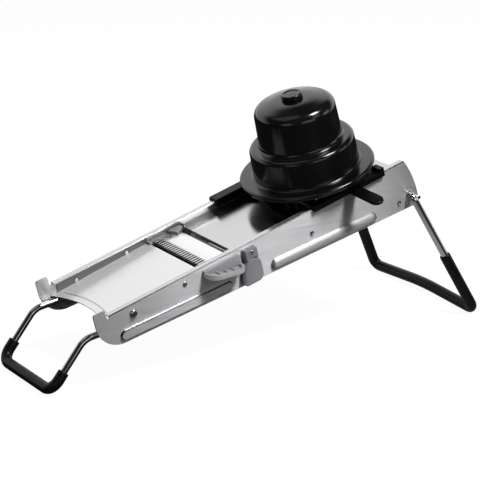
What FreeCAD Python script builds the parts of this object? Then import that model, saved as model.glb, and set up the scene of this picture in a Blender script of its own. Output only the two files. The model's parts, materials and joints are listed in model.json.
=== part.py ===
import FreeCAD, Part
import math
import os

# Mandoline slicer: a folded steel body on two wire legs, a removable blade, a lever that lowers
# the infeed plate, and a domed pusher that runs on the rails.
# Everything is drawn in the body's own frame: X along the rails from the front (low) end,
# Y across to the left side, Z square to the rails with 0 on their top. At the end the body
# is tilted so that both legs stand on the floor.

Vec = FreeCAD.Vector

# Body sizes, millimetres
rail_length = 400.0
body_width = 116.0
sheet = 1.5
rail_width = 7.0
rail_bend = 1.2
plate_depth_front = 35.0
plate_depth_rear = 54.8
ear_height = 8.5
ear_length = 14.0
ear_corner = 3.0
ear_root = 5.0
relief_width = 3.0
relief_depth = 3.0
front_round = 27.0
rear_bulge = 10.5
rear_edge_sag = 2.67
rear_corner = 8.5
rib_width = 11.5
rib_height = 2.0
rib_edge_round = 1.9
rib_above_edge = 8.0
front_rib_start = 29.0
front_rib_length = 127.0
rear_rib_inset = 54.0
rear_rib_length = 129.0
dimple_radius = 3.0
dimple_rise = 1.5
dimple_x = 268.0
dimple_z = -26.0

# Clearances, and how far a cutter reaches past what it cuts
running = 0.05
press = 0.02
slide_gap = 0.4
seat_gap = 0.3
cut_past = 5.0

# Exit plate, the fixed lower plate
exit_front = 12.0
exit_length = 123.5
exit_arch = 12.0
exit_top = -10.0
exit_drop = 4.0
plate_sheet = 1.0
bead_inset = 9.0
bead_radius = 1.3
bead_rise = 0.9
lug_length = 6.0
lug_rise = 2.6
rivet_radius = 2.0
rivet_rise = 2.6
front_rivet_head = 4.8
front_rivet_head_height = 2.4
rear_rivet_head = 2.9
rear_rivet_head_height = 0.9
rivet_head_edge = 0.2
rivet_tail = 2.4
rivet_tail_height = 1.2
front_rivet_inset = 32.0
rear_rivet_inset = 27.5

# Blade and its carrier
blade_seam = 3.2
blade_length = 33.3
blade_top = -9.2
blade_thick = 1.2
blade_side_gap = 6.5
groove_count = 21
groove_pitch = 4.5
groove_width = 2.4
groove_depth = 0.8
groove_length = 12.0
edge_bevel = 7.0
edge_land = 0.2
carrier_inset = 2.0
carrier_thick = 2.6
carrier_far_gap = 2.5
blade_rivet_radius = 1.8
blade_rivet_edge = 8.0
blade_rivet_inset = 6.0
bar_thick = 4.0
front_bar_length = 11.0
rear_bar_length = 11.0
rear_bar_gap = 2.2
clip_length = 16.0
clip_reach = 15.0
clip_back_reach = 8.2
clip_tip_inset = 5.0
clip_thick = 1.9
clip_root = 4.5
clip_root_reach = 6.0

# Carrier handle, a ribbed finger scoop outside the right plate
handle_length = 46.0
handle_ahead = 2.0
handle_reach = 18.0
handle_straight = 4.5
handle_thick = 6.0
handle_edge_round = 2.8
handle_tilt = 12.0
handle_drop = 0.6
handle_tongue = 12.0
handle_dish = 2.4
handle_rim = 3.5
handle_ribs = 3
handle_rib_width = 1.8
handle_rib_below = 0.9
handle_rib_pitch = 9.0
handle_overlap = 3.2
handle_back_top = -4.2
handle_back_round = 4.0

# Infeed plate and the lever that lowers it
feed_gap = 8.0
infeed_rear_gap = 3.0
infeed_top = -10.0
infeed_thick = 1.2
infeed_side_gap = 0.6
infeed_lug_rise = 3.0
hinge_inset = 6.0
infeed_hinge_drop = 9.0
hinge_rod_radius = 3.0
hinge_lug_radius = 5.0
hinge_lug_width = 10.0
hinge_lug_inset = 18.5
shaft_inset = 8.0
shaft_radius = 4.0
shaft_in_lever = 3.9
cam_radius = 10.0
cam_offset = 5.0
cam_angle = 150.0
cam_gap = 0.2
cam_width = 8.0
cam_inset = 24.5
lever_hub = 9.6
lever_gap = 2.0
lever_thick = 6.5
lever_length = 19.1
lever_front_reach = 15.0
lever_rear_reach = 9.0
lever_foot_round = 7.2
lever_foot_cut = 3.6
lever_edge = 2.4
guide_front_reach = 7.5
guide_rear_reach = 6.5
guide_top = -4.0
guide_below = 15.1
guide_thick = 7.6
screw_radius = 2.2
screw_shank = 1.2
screw_height = 1.0
screw_head_round = 0.6
guide_screw_edge = 3.4
retainer_radius = 7.0
retainer_thick = 1.6

# Front leg, bent wire with a soft sleeve on its foot bar
front_wire_radius = 3.5
front_sleeve_radius = 5.8
front_arm_inset = 6.5
front_pivot_back = 52.0
front_pivot_depth = 12.5
front_knee_x = -12.0
front_knee_z = -15.5
front_foot_x = -61.0
front_foot_z = -51.0
front_knee_bend = 20.0
front_foot_bend = 13.0
front_end_bend = 8.0
front_end_length = 22.0
front_sleeve_share = 0.62
clip_block_width = 10.0
clip_block_wall = 2.6

# Rear leg, wider at the floor than at its pivots
rear_wire_radius = 4.0
rear_sleeve_radius = 6.0
rear_pivot_inset = 1.0
rear_pivot_z = -41.0
rear_arm_out = 6.6
rear_foot_run = 37.0
rear_foot_drop = 153.5
rear_foot_out = 30.0
rear_arch = 5.0
rear_arch_bend = 400.0
rear_top_bend = 6.5
rear_foot_bend = 8.0
rear_sleeve_share = 0.51
rear_cap_radius = 7.5
rear_cap_thick = 2.0
rear_end_inside = 3.5
stop_radius = 2.0
stop_below = 6.0
stop_length = 7.0
leg_dimple_inset = 16.0
leg_dimple_z = -44.0
foot_flat = 0.5

# Pusher carriage
dome_to_rear = 85.2
shoe_ahead_right = 39.8
shoe_ahead_left = 91.3
shoe_behind = 56.0
shoe_outer = 3.1
shoe_rise = 2.8
shoe_nose_round = 1.8
shoe_skirt = 3.2
shoe_leg = 2.5
shoe_leg_depth = 6.2
shoe_hook = 4.4
shoe_hook_thick = 2.4
shoe_end_rise = 4.0
shoe_end_length = 6.0
shoe_screw_radius = 1.5
shoe_screw_shank = 0.8
base_screw_inset = 12.0
collar_wall = 3.6
wing_behind = 13.0
wing_drop = 2.6
wing_root = 15.0
wing_tip = 16.0
wing_reach = 38.0
wing_lag = 7.0
wing_thick = 4.0
wing_slope = 12.0

# Pusher dome and plunger
dome_wall = 3.0
brim_radius = 73.4
brim_low = 11.0
brim_top = 16.5
middle_radius = 56.5
middle_top = 49.0
top_radius = 43.5
top_shoulder = 94.0
top_crown = 4.4
tier_draft = 1.5
middle_round = 4.0
top_round = 10.0
tier_fillet = 2.0
cap_plug = 1.5
ring_reach = 3.0
ring_thick = 2.0
ring_screw_count = 4
ring_screw_radius = 1.2
ring_screw_shank = 0.7
ring_screw_height = 0.9
ring_screw_depth = 1.8
rod_radius = 4.0
rod_in_button = 3.2
button_radius = 11.6
button_height = 4.8
button_round = 2.0
prong_side_gap = 3.0
prong_plate_low = 3.0
prong_plate_thick = 3.0
prong_length = 8.0
prong_taper = 3.2
prong_radius = 1.0
prong_point = 0.2
prong_edge = 5.5
prong_ring_pitch = 10.5
prong_counts = (14, 10, 6)
spring_radius = 8.0
spring_wire = 0.8
spring_turns = 9

# Worked out from the sizes above
half_width = body_width / 2
inner_half = half_width - sheet
rail_inner = half_width - rail_width
rail_start = ear_length + relief_width
exit_rear = exit_front + exit_length
exit_slope = math.degrees(math.atan2(exit_drop, exit_length))
blade_front = exit_rear + blade_seam
blade_rear = blade_front + blade_length
blade_half = inner_half - blade_side_gap
carrier_top = blade_top - blade_thick
carrier_low = carrier_top - carrier_thick
bar_top = carrier_low - seat_gap
infeed_front = blade_rear + feed_gap
infeed_rear = rail_length - infeed_rear_gap
infeed_low = infeed_top - infeed_thick
infeed_hinge_x = infeed_rear - hinge_inset
infeed_hinge_z = infeed_top - infeed_hinge_drop
shaft_x = infeed_front + shaft_inset
shaft_z = infeed_low - cam_gap - cam_radius - cam_offset * math.sin(math.radians(cam_angle))
front_arm_y = inner_half - front_arm_inset
front_pivot_x = exit_front + front_pivot_back
rear_pivot_x = rail_length - rear_pivot_inset
rear_foot_x = rear_pivot_x + rear_foot_run
rear_foot_z = rear_pivot_z - rear_foot_drop
rear_foot_y = half_width + rear_foot_out
dome_x = rail_length - dome_to_rear
shoe_rear = dome_x + shoe_behind
deck_half = rail_inner - slide_gap - shoe_leg
deck_front = dome_x - shoe_ahead_right
spigot_radius = deck_half - collar_wall
spigot_low = slide_gap - seat_gap
spigot_inner = spigot_radius - dome_wall
middle_base = middle_radius + tier_draft
top_base = top_radius + tier_draft
cap_seat = top_base - dome_wall + cap_plug
ring_low = spigot_low - ring_thick
rod_top = top_shoulder + top_crown + seat_gap + rod_in_button
prong_plate_radius = spigot_inner - prong_side_gap
prong_plate_top = prong_plate_low + prong_plate_thick
diagonal = math.sqrt(0.5)
nodes = {}


def bottom_edge(x):
    """Height of the side plate's straight lower edge at x."""
    return -(plate_depth_front + (plate_depth_rear - plate_depth_front) * x / rail_length)


def box(x0, x1, y0, y1, z0, z1):
    low = Vec(min(x0, x1), min(y0, y1), min(z0, z1))
    return Part.makeBox(abs(x1 - x0), abs(y1 - y0), abs(z1 - z0), low)


def pin_y(x, z, radius, y0, y1):
    """Cylinder across the body."""
    return Part.makeCylinder(radius, abs(y1 - y0), Vec(x, min(y0, y1), z), Vec(0, 1, 0))


def pin_z(x, y, radius, z0, z1):
    """Cylinder square to the rails."""
    return Part.makeCylinder(radius, z1 - z0, Vec(x, y, z0))


def line(a, b):
    return Part.LineSegment(Vec(*a), Vec(*b)).toShape()


def arc(a, b, c):
    return Part.Arc(Vec(*a), Vec(*b), Vec(*c)).toShape()


def side_view(points):
    """Lift a list of (x, z) points into the plane y = 0."""
    return [(x, 0.0, z) for x, z in points]


def prism_y(edges, y0, y1):
    """Solid between y0 and y1 over a closed outline drawn at y = 0."""
    face = Part.Face(Part.Wire(edges))
    face.translate(Vec(0, min(y0, y1), 0))
    return face.extrude(Vec(0, abs(y1 - y0), 0))


def prism_z(points, z0, z1):
    """Solid between z0 and z1 over a closed polygon of (x, y) points."""
    loop = [Vec(x, y, z0) for x, y in points]
    face = Part.Face(Part.makePolygon(loop + loop[:1]))
    return face.extrude(Vec(0, 0, z1 - z0))


def stadium(a, b, width):
    """Outline of a round-ended slot between centres a and b, in the plane y = 0."""
    along = Vec(b[0] - a[0], 0, b[1] - a[1]).normalize()
    across = Vec(-along.z, 0, along.x) * (width / 2)
    tip = along * (width / 2)
    first = Vec(a[0], 0, a[1])
    last = Vec(b[0], 0, b[1])
    return [
        Part.LineSegment(first + across, last + across).toShape(),
        Part.Arc(last + across, last + tip, last - across).toShape(),
        Part.LineSegment(last - across, first - across).toShape(),
        Part.Arc(first - across, first - tip, first + across).toShape(),
    ]


def edges_at_y(shape, y):
    return [e for e in shape.Edges if all(abs(p.Point.y - y) < 1e-6 for p in e.Vertexes)]


def bent_path(points, radii):
    """Straight runs between points, joined by tangent arcs of the given radii at the inner points."""
    points = [Vec(*p) for p in points]
    edges = []
    start = points[0]
    for before, corner, after, radius in zip(points, points[1:], points[2:], radii):
        towards = (before - corner).normalize()
        away = (after - corner).normalize()
        half = towards.getAngle(away) / 2
        reach = radius / math.tan(half)
        bisector = (towards + away).normalize()
        middle = corner + bisector * (radius / math.sin(half) - radius)
        edges.append(Part.LineSegment(start, corner + towards * reach).toShape())
        edges.append(Part.Arc(corner + towards * reach, middle, corner + away * reach).toShape())
        start = corner + away * reach
    edges.append(Part.LineSegment(start, points[-1]).toShape())
    return Part.Wire(edges)


def swept(path, radius):
    """Round bar along a path."""
    first = path.Edges[0]
    start = first.valueAt(first.FirstParameter)
    heading = first.tangentAt(first.FirstParameter)
    section = Part.Wire([Part.Circle(start, heading, radius).toShape()])
    return path.makePipeShell([section], True, False)


def revolved(edges, x):
    """Solid of revolution about the dome's axis from an (r, z) outline drawn at y = 0."""
    face = Part.Face(Part.Wire(edges))
    turned = face.revolve(Vec(0, 0, 0), Vec(0, 0, 1), 360)
    turned.translate(Vec(x, 0, 0))
    return turned


def screw(place, heading, radius, height, shank, depth):
    """Round-headed screw: its head stands on place along heading, its shank goes the other way."""
    place = Vec(*place)
    heading = Vec(*heading)
    head = Part.makeCylinder(radius, height, place, heading)
    rim = [e for e in head.Edges if isinstance(e.Curve, Part.Circle)
           and (e.Curve.Center - place).Length > height / 2]
    head = head.makeFillet(min(screw_head_round, height - press), rim)
    return head.fuse(Part.makeCylinder(shank, depth, place, heading * -1)).removeSplitter()


# Side plates


def plate_outline():
    ear_base = -ear_root
    low_front = bottom_edge(front_round)
    rear_low = (rail_length + rear_bulge, bottom_edge(rail_length) + rear_corner)
    rear_end_x = rail_length + rear_bulge - rear_corner
    rear_end = (rear_end_x, bottom_edge(rear_end_x))
    ear_top = side_view([(0, ear_base), (0, ear_height - ear_corner), (ear_corner, ear_height),
                         (ear_length - ear_corner, ear_height), (ear_length, ear_height - ear_corner),
                         (ear_length, -relief_depth), (rail_start, -relief_depth), (rail_start, 0),
                         (rail_length, 0)])
    round_in = ear_corner * (1 - diagonal)
    front_tip = side_view([(round_in, ear_height - round_in)])[0]
    rear_tip = side_view([(ear_length - round_in, ear_height - round_in)])[0]
    edges = [
        line(ear_top[0], ear_top[1]),
        arc(ear_top[1], front_tip, ear_top[2]),
        line(ear_top[2], ear_top[3]),
        arc(ear_top[3], rear_tip, ear_top[4]),
    ]
    edges += [line(a, b) for a, b in zip(ear_top[4:], ear_top[5:])]
    rear_edge = math.hypot(rear_bulge, rear_low[1])
    rear_via = (rail_length + rear_bulge / 2 - rear_edge_sag * rear_low[1] / rear_edge,
                rear_low[1] / 2 + rear_edge_sag * rear_bulge / rear_edge)
    corner_via = (rear_low[0] - rear_corner * (1 - diagonal),
                  rear_low[1] - (rear_low[1] - rear_end[1]) * diagonal)
    front_via = (front_round * (1 - diagonal), ear_base + (low_front - ear_base) * diagonal)
    lower = side_view([(rail_length, 0), rear_via, rear_low, corner_via, rear_end,
                       (front_round, low_front), front_via, (0, ear_base)])
    edges += [arc(*lower[0:3]), arc(*lower[2:5]), line(lower[4], lower[5]), arc(*lower[5:8])]
    return edges


def pressed_rib(side, x0, x1):
    """Outward rib beside the lower edge, and the groove behind it."""
    a = (x0, bottom_edge(x0) + rib_above_edge)
    b = (x1, bottom_edge(x1) + rib_above_edge)
    crest = side * (half_width + rib_height)
    ridge = prism_y(stadium(a, b, rib_width), side * inner_half, crest)
    ridge = ridge.makeFillet(rib_edge_round, edges_at_y(ridge, crest))
    groove = prism_y(stadium(a, b, rib_width - 2 * sheet), side * (inner_half - sheet), crest - side * sheet)
    return ridge, groove


def pressed_dimple(side, x, z):
    """Small round bump on the outside."""
    centre_y = side * (half_width + dimple_rise - dimple_radius)
    return Part.makeSphere(dimple_radius, Vec(x, centre_y, z))


def side_plate(side):
    plate = prism_y(plate_outline(), side * inner_half, side * half_width)
    rail = box(rail_start, rail_length, side * rail_inner, side * half_width, -sheet, 0)
    plate = plate.fuse(rail).removeSplitter()
    fold = [e for e in edges_at_y(plate, side * half_width)
            if abs(e.BoundBox.ZMin) < 1e-6 and e.Length > rail_length / 2]
    plate = plate.makeFillet(rail_bend, fold)
    grooves = []
    rear_rib_start = rail_length - rear_rib_inset - rear_rib_length
    for start, length in ((front_rib_start, front_rib_length), (rear_rib_start, rear_rib_length)):
        ridge, groove = pressed_rib(side, start, start + length)
        plate = plate.fuse(ridge)
        grooves.append(groove)
    inside = box(0, rail_length + rear_bulge, 0, side * inner_half, -2 * plate_depth_rear, 0)
    for x, z in ((dimple_x, dimple_z), (rail_length - leg_dimple_inset, leg_dimple_z)):
        plate = plate.fuse(pressed_dimple(side, x, z).cut(inside))
    through = side * (inner_half - cut_past)
    past = side * (half_width + cut_past)
    holes = [pin_y(rear_pivot_x, rear_pivot_z, rear_wire_radius + running, through, past),
             pin_y(shaft_x, shaft_z, shaft_radius + running, through, past)]
    holes += [pin_y(*rivet_place(x), rivet_radius + press, through, past) for x in rivet_stations()]
    plate = plate.cut(grooves + holes)
    return plate.removeSplitter()


# Exit plate, drawn level with its top at z = 0 and then set at its slope


def set_exit(shape):
    """Turn a level piece about the exit plate's rear edge to the plate's slope, and set it in place."""
    shape.rotate(Vec(exit_rear, 0, 0), Vec(0, 1, 0), -exit_slope)
    shape.translate(Vec(0, 0, exit_top))
    return shape


def exit_place(x, z):
    """Body-frame (x, z) of a point given in the level exit plate."""
    slope = math.radians(exit_slope)
    run = x - exit_rear
    return (exit_rear + run * math.cos(slope) - z * math.sin(slope),
            exit_top + run * math.sin(slope) + z * math.cos(slope))


def rivet_stations():
    return (exit_front + front_rivet_inset, exit_rear - rear_rivet_inset)


def rivet_place(station):
    """Body-frame (x, z) of the rivets at a station, a little above the exit plate."""
    return exit_place(station, rivet_rise)


def exit_plate():
    front = [(exit_front, inner_half), (exit_front + exit_arch, 0), (exit_front, -inner_half)]
    front = [(x, y, 0.0) for x, y in front]
    rear_left = (exit_rear, inner_half, 0.0)
    rear_right = (exit_rear, -inner_half, 0.0)
    edges = [arc(*front), line(front[2], rear_right), line(rear_right, rear_left), line(rear_left, front[0])]
    plate = Part.Face(Part.Wire(edges)).extrude(Vec(0, 0, -plate_sheet))
    arch_radius = (inner_half ** 2 + exit_arch ** 2) / (2 * exit_arch)
    centre_x = exit_front + exit_arch - arch_radius
    bead_arc = arch_radius + bead_inset
    swing = math.asin((inner_half - bead_inset) / bead_arc)
    bead_path = [(centre_x + bead_arc * math.cos(a), bead_arc * math.sin(a), bead_rise - bead_radius)
                 for a in (swing, 0, -swing)]
    bead = swept(Part.Wire([arc(*bead_path)]), bead_radius)
    below = box(exit_front, exit_rear, -inner_half, inner_half, -plate_sheet, -plate_sheet - cut_past)
    plate = plate.fuse(bead.cut(below))
    flange_rise = exit_drop - exit_top
    for side in (-1, 1):
        flange = box(exit_front + bead_inset, exit_rear, side * (inner_half - plate_sheet), side * inner_half,
                     0, flange_rise)
        lug_y = side * (inner_half - plate_sheet)
        lug = box(exit_rear - plate_sheet, exit_rear, lug_y, lug_y - side * lug_length, 0, lug_rise)
        plate = plate.fuse([flange, lug])
        for x in rivet_stations():
            hole = pin_y(x, rivet_rise, rivet_radius + press, side * (inner_half - cut_past),
                         side * half_width)
            plate = plate.cut(hole)
    above = box(exit_front, exit_rear + cut_past, -inner_half, inner_half, -(sheet + seat_gap), flange_rise)
    return set_exit(plate.removeSplitter()).cut(above)


def exit_rivets():
    """One rivet per station and side, through the side plate and the exit plate's flange."""
    rivets = []
    heads = ((front_rivet_head, front_rivet_head_height), (rear_rivet_head, rear_rivet_head_height))
    for side in (-1, 1):
        for station, (radius, height) in zip(rivet_stations(), heads):
            x, z = rivet_place(station)
            inside = side * (inner_half - plate_sheet)
            shank = pin_y(x, z, rivet_radius, inside, side * half_width)
            outer = pin_y(x, z, radius, side * half_width, side * (half_width + height))
            outer = outer.makeFillet(height - rivet_head_edge,
                                     edges_at_y(outer, side * (half_width + height)))
            inner = pin_y(x, z, rivet_tail, inside, inside - side * rivet_tail_height)
            rivets.append(shank.fuse([outer, inner]).removeSplitter())
    return Part.makeCompound(rivets)


def front_leg_clips():
    """Two saddle blocks under the exit plate that hold the leg's inturned ends."""
    blocks = []
    reach = front_wire_radius + running + clip_block_wall
    low = -(front_pivot_depth + reach)
    for side in (-1, 1):
        outer = side * (front_arm_y - front_end_bend - 2 * slide_gap)
        inner = outer - side * clip_block_width
        block = box(front_pivot_x - reach, front_pivot_x + reach, inner, outer, low, -plate_sheet)
        bore = pin_y(front_pivot_x, -front_pivot_depth, front_wire_radius + running,
                     inner - side, outer + side)
        blocks.append(set_exit(block.cut(bore)))
    return Part.makeCompound(blocks)


# Legs


def front_leg_points():
    pivot = exit_place(front_pivot_x, -front_pivot_depth)
    inner_y = front_arm_y - front_end_length
    half = [(pivot[0], inner_y, pivot[1]), (pivot[0], front_arm_y, pivot[1]),
            (front_knee_x, front_arm_y, front_knee_z), (front_foot_x, front_arm_y, front_foot_z)]
    return half + [(x, -y, z) for x, y, z in reversed(half)]


def sleeve_points(points, share):
    """The foot part of a leg: from a share of the way down one lower arm to the same place on the other."""
    middle = len(points) // 2
    feet = points[middle - 2:middle + 2] if len(points) % 2 == 0 else points[middle - 2:middle + 3]
    knee = Vec(*feet[0])
    foot = Vec(*feet[1])
    start = knee + (foot - knee) * share
    end = Vec(start.x, -start.y, start.z)
    return [tuple(start)] + feet[1:-1] + [tuple(end)]


def front_leg():
    points = front_leg_points()
    bends = [front_end_bend, front_knee_bend, front_foot_bend]
    wire = swept(bent_path(points, bends + bends[::-1]), front_wire_radius)
    foot = bent_path(sleeve_points(points, front_sleeve_share), [front_foot_bend, front_foot_bend])
    sleeve = swept(foot, front_sleeve_radius).cut(swept(foot, front_wire_radius + press))
    return wire, sleeve


def rear_leg_points(tilt):
    arm_y = half_width + rear_arm_out
    inner_y = inner_half - rear_end_inside
    half = [(rear_pivot_x, inner_y, rear_pivot_z), (rear_pivot_x, arm_y, rear_pivot_z),
            (rear_foot_x, rear_foot_y, rear_foot_z)]
    lift = Vec(math.sin(tilt), 0, math.cos(tilt)) * rear_arch
    crown = (rear_foot_x + lift.x, 0.0, rear_foot_z + lift.z)
    return half + [crown] + [(x, -y, z) for x, y, z in reversed(half)]


def rear_leg(tilt):
    points = rear_leg_points(tilt)
    bends = [rear_top_bend, rear_foot_bend, rear_arch_bend, rear_foot_bend, rear_top_bend]
    wire = swept(bent_path(points, bends), rear_wire_radius)
    foot = bent_path(sleeve_points(points, rear_sleeve_share), bends[1:-1])
    sleeve = swept(foot, rear_sleeve_radius).cut(swept(foot, rear_wire_radius + press))
    return wire, sleeve


def rear_leg_caps():
    """Push-on caps on the leg's inturned ends, inside the side plates."""
    caps = []
    for side in (-1, 1):
        outer = side * (inner_half - seat_gap)
        cap = pin_y(rear_pivot_x, rear_pivot_z, rear_cap_radius, outer, outer - side * rear_cap_thick)
        bore = pin_y(rear_pivot_x, rear_pivot_z, rear_wire_radius, outer, outer - side * rear_cap_thick)
        caps.append(cap.cut(bore))
    return Part.makeCompound(caps)


def rear_leg_stops():
    """Stop studs behind the rear leg's arms, which take the load when the leg stands."""
    run = Vec(rear_foot_x - rear_pivot_x, 0, rear_foot_z - rear_pivot_z).normalize()
    behind = Vec(-run.z, 0, run.x)
    centre = (Vec(rear_pivot_x, 0, rear_pivot_z) + run * stop_below
              + behind * (rear_wire_radius + stop_radius + seat_gap))
    studs = [pin_y(centre.x, centre.z, stop_radius, side * half_width, side * (half_width + stop_length))
             for side in (-1, 1)]
    return Part.makeCompound(studs)


# Blade cassette


def slicing_blade():
    blade = box(blade_front, blade_rear, -blade_half, blade_half, carrier_top, blade_top)
    first = -groove_pitch * (groove_count - 1) / 2
    cuts = []
    for i in range(groove_count):
        y = first + i * groove_pitch
        vee = [(y - groove_width / 2, blade_top), (y, blade_top - groove_depth),
               (y + groove_width / 2, blade_top)]
        loop = [Vec(blade_front, a, b) for a, b in vee]
        cuts.append(Part.Face(Part.makePolygon(loop + loop[:1])).extrude(Vec(groove_length, 0, 0)))
    bevel = side_view([(blade_rear - edge_bevel, blade_top), (blade_rear, blade_top),
                       (blade_rear, carrier_top + edge_land)])
    edges = [line(a, b) for a, b in zip(bevel, bevel[1:] + bevel[:1])]
    cuts.append(prism_y(edges, -blade_half, blade_half))
    return blade.cut(cuts)


def blade_rivet_places():
    x = blade_front + groove_length + blade_rivet_inset
    return [(x, side * (blade_half - blade_rivet_edge)) for side in (-1, 1)]


def blade_carrier():
    """Flat bed under the blade, with a tongue that reaches out into the handle."""
    front = blade_front + carrier_inset
    near = -(half_width - seat_gap)
    far = inner_half - carrier_far_gap
    bed = box(front, blade_rear - carrier_inset, near, far, carrier_low, carrier_top)
    tongue = box(front, front + handle_tongue, near, -(half_width + handle_overlap), carrier_low, carrier_top)
    bed = bed.fuse(tongue).removeSplitter()
    for x, y in blade_rivet_places():
        bed = bed.cut(pin_z(x, y, blade_rivet_radius, carrier_low, carrier_top))
    return bed


def blade_rivets():
    """Flush rivets that hold the blade down on the carrier's bed."""
    return Part.makeCompound([pin_z(x, y, blade_rivet_radius, carrier_low, carrier_top)
                              for x, y in blade_rivet_places()])


def carrier_handle():
    """D-shaped scoop on the carrier's outer end, dished, with finger ribs, tilted down to the rear,
    and a back wall that closes the space between the scoop and the rail."""
    middle = (blade_front + blade_rear) / 2 - handle_ahead
    root = -(half_width + slide_gap)
    top = carrier_top - handle_drop
    low = top - handle_thick

    def dee(inset, z0, z1):
        a = handle_length / 2 - inset
        b = handle_reach - inset
        bend = b - handle_straight
        corner = a - bend
        side_end = root - handle_straight
        ends = [(middle - a, root, z0), (middle + a, root, z0)]
        left = [(middle - a, side_end, z0), (middle - corner, root - b, z0)]
        right = [(middle + corner, root - b, z0), (middle + a, side_end, z0)]
        left_via = (middle - corner - bend * diagonal, side_end - bend * diagonal, z0)
        right_via = (middle + corner + bend * diagonal, left_via[1], z0)
        edges = [line(ends[0], left[0]), arc(left[0], left_via, left[1]), line(left[1], right[0]),
                 arc(right[0], right_via, right[1]), line(right[1], ends[1]), line(ends[1], ends[0])]
        return Part.Face(Part.Wire(edges)).extrude(Vec(0, 0, z1 - z0))

    scoop = dee(0, low, top)
    rim = [e for e in scoop.Edges if all(abs(p.Point.z - low) < 1e-6 for p in e.Vertexes)
           and e.BoundBox.YMin < root - 1e-3]
    scoop = scoop.makeFillet(handle_edge_round, rim)
    dish = dee(handle_rim, top - handle_dish, top + handle_thick)
    dish = dish.cut(box(middle - handle_length, middle + handle_length, root, root - handle_rim, low,
                        top + handle_thick))
    for i in range(handle_ribs):
        x = middle + (i - (handle_ribs - 1) / 2) * handle_rib_pitch
        rib = box(x - handle_rib_width / 2, x + handle_rib_width / 2, root, root - handle_reach,
                  low, top - handle_rib_below)
        dish = dish.cut(rib)
    scoop = scoop.cut(dish)
    scoop.rotate(Vec(middle, 0, carrier_top), Vec(0, 1, 0), handle_tilt)
    run = handle_length / 2 * math.cos(math.radians(handle_tilt))
    sink = handle_length / 2 * math.sin(math.radians(handle_tilt))
    core = top - handle_thick / 2
    back = side_view([(middle - run, handle_back_top), (middle + run, handle_back_top),
                      (middle + run, core - sink), (middle - run, core + sink)])
    wall = prism_y([line(a, b) for a, b in zip(back, back[1:] + back[:1])], root, root - handle_rim)
    corners = [e for e in wall.Edges if abs(e.BoundBox.ZMin - handle_back_top) < 1e-6
               and e.BoundBox.XLength < 1e-6 and e.BoundBox.XMin > middle]
    scoop = scoop.fuse(wall.makeFillet(handle_back_round, corners))
    front = blade_front + carrier_inset
    slot = box(front - press, front + handle_tongue + press, root, -(half_width + handle_overlap),
               carrier_low - press, carrier_top + press)
    return scoop.cut(slot).removeSplitter()


def cassette_window():
    """Opening in the right plate that the blade and its carrier slide out through."""
    room = 2 * slide_gap
    return box(blade_front - room, blade_rear + room, -(inner_half - cut_past), -(half_width + cut_past),
               carrier_low - room, blade_top + room)


def front_blade_bar():
    front = exit_rear + seat_gap
    return box(front, front + front_bar_length, -inner_half, inner_half, bar_top - bar_thick, bar_top)


def rear_blade_bar():
    rear = infeed_front - rear_bar_gap
    bar = box(rear - rear_bar_length, rear, -inner_half, inner_half, bar_top - bar_thick, bar_top)
    for side in (-1, 1):
        wide = cam_width + 4 * slide_gap
        middle = side * (inner_half - cam_inset)
        room = cam_radius + 2 * cam_offset
        bar = bar.cut(pin_y(shaft_x, shaft_z, room, middle - wide / 2, middle + wide / 2))
    return bar


def blade_end_clip():
    """Pointed clip on the left plate that keeps the blade's far end down."""
    rear = blade_rear + slide_gap + clip_root
    front = rear - clip_length
    wall = inner_half
    low = blade_top + seat_gap
    tip = [(front, wall), (rear, wall), (rear, wall - clip_back_reach),
           (front + clip_tip_inset, wall - clip_reach)]
    tongue = prism_z(tip, low, low + clip_thick)
    root = box(rear - clip_root, rear, wall, wall - clip_root_reach, bar_top, low)
    return tongue.fuse(root).removeSplitter()


# Infeed plate and its lever


def infeed_plate():
    edge = inner_half - infeed_side_gap
    plate = box(infeed_front, infeed_rear, -edge, edge, infeed_low, infeed_top)
    for side in (-1, 1):
        lug = box(infeed_front, infeed_front + plate_sheet, side * edge, side * (edge - lug_length),
                  infeed_top, infeed_top + infeed_lug_rise)
        plate = plate.fuse(lug)
    return plate.removeSplitter()


def infeed_hinge_lugs():
    """Two eyes welded under the infeed plate's rear end, turning on the hinge rod."""
    lugs = []
    for side in (-1, 1):
        y0 = side * (inner_half - hinge_lug_inset) - hinge_lug_width / 2
        y1 = y0 + hinge_lug_width
        eye = pin_y(infeed_hinge_x, infeed_hinge_z, hinge_lug_radius, y0, y1)
        stem = box(infeed_hinge_x - hinge_lug_radius, infeed_hinge_x + hinge_lug_radius, y0, y1,
                   infeed_hinge_z, infeed_low)
        bore = pin_y(infeed_hinge_x, infeed_hinge_z, hinge_rod_radius + running, y0, y1)
        lugs.append(eye.fuse(stem).cut(bore).removeSplitter())
    return Part.makeCompound(lugs)


def cam_shaft():
    near = -(half_width + lever_gap + shaft_in_lever)
    far = half_width + seat_gap + retainer_thick
    return pin_y(shaft_x, shaft_z, shaft_radius, near, far)


def thickness_cams():
    """Two eccentric discs on the shaft that carry the infeed plate's front end."""
    turn = math.radians(cam_angle)
    cams = []
    for side in (-1, 1):
        y0 = side * (inner_half - cam_inset) - cam_width / 2
        disc = pin_y(shaft_x + cam_offset * math.cos(turn), shaft_z + cam_offset * math.sin(turn),
                     cam_radius, y0, y0 + cam_width)
        cams.append(disc.cut(pin_y(shaft_x, shaft_z, shaft_radius + press, y0, y0 + cam_width)))
    return Part.makeCompound(cams)


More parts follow.
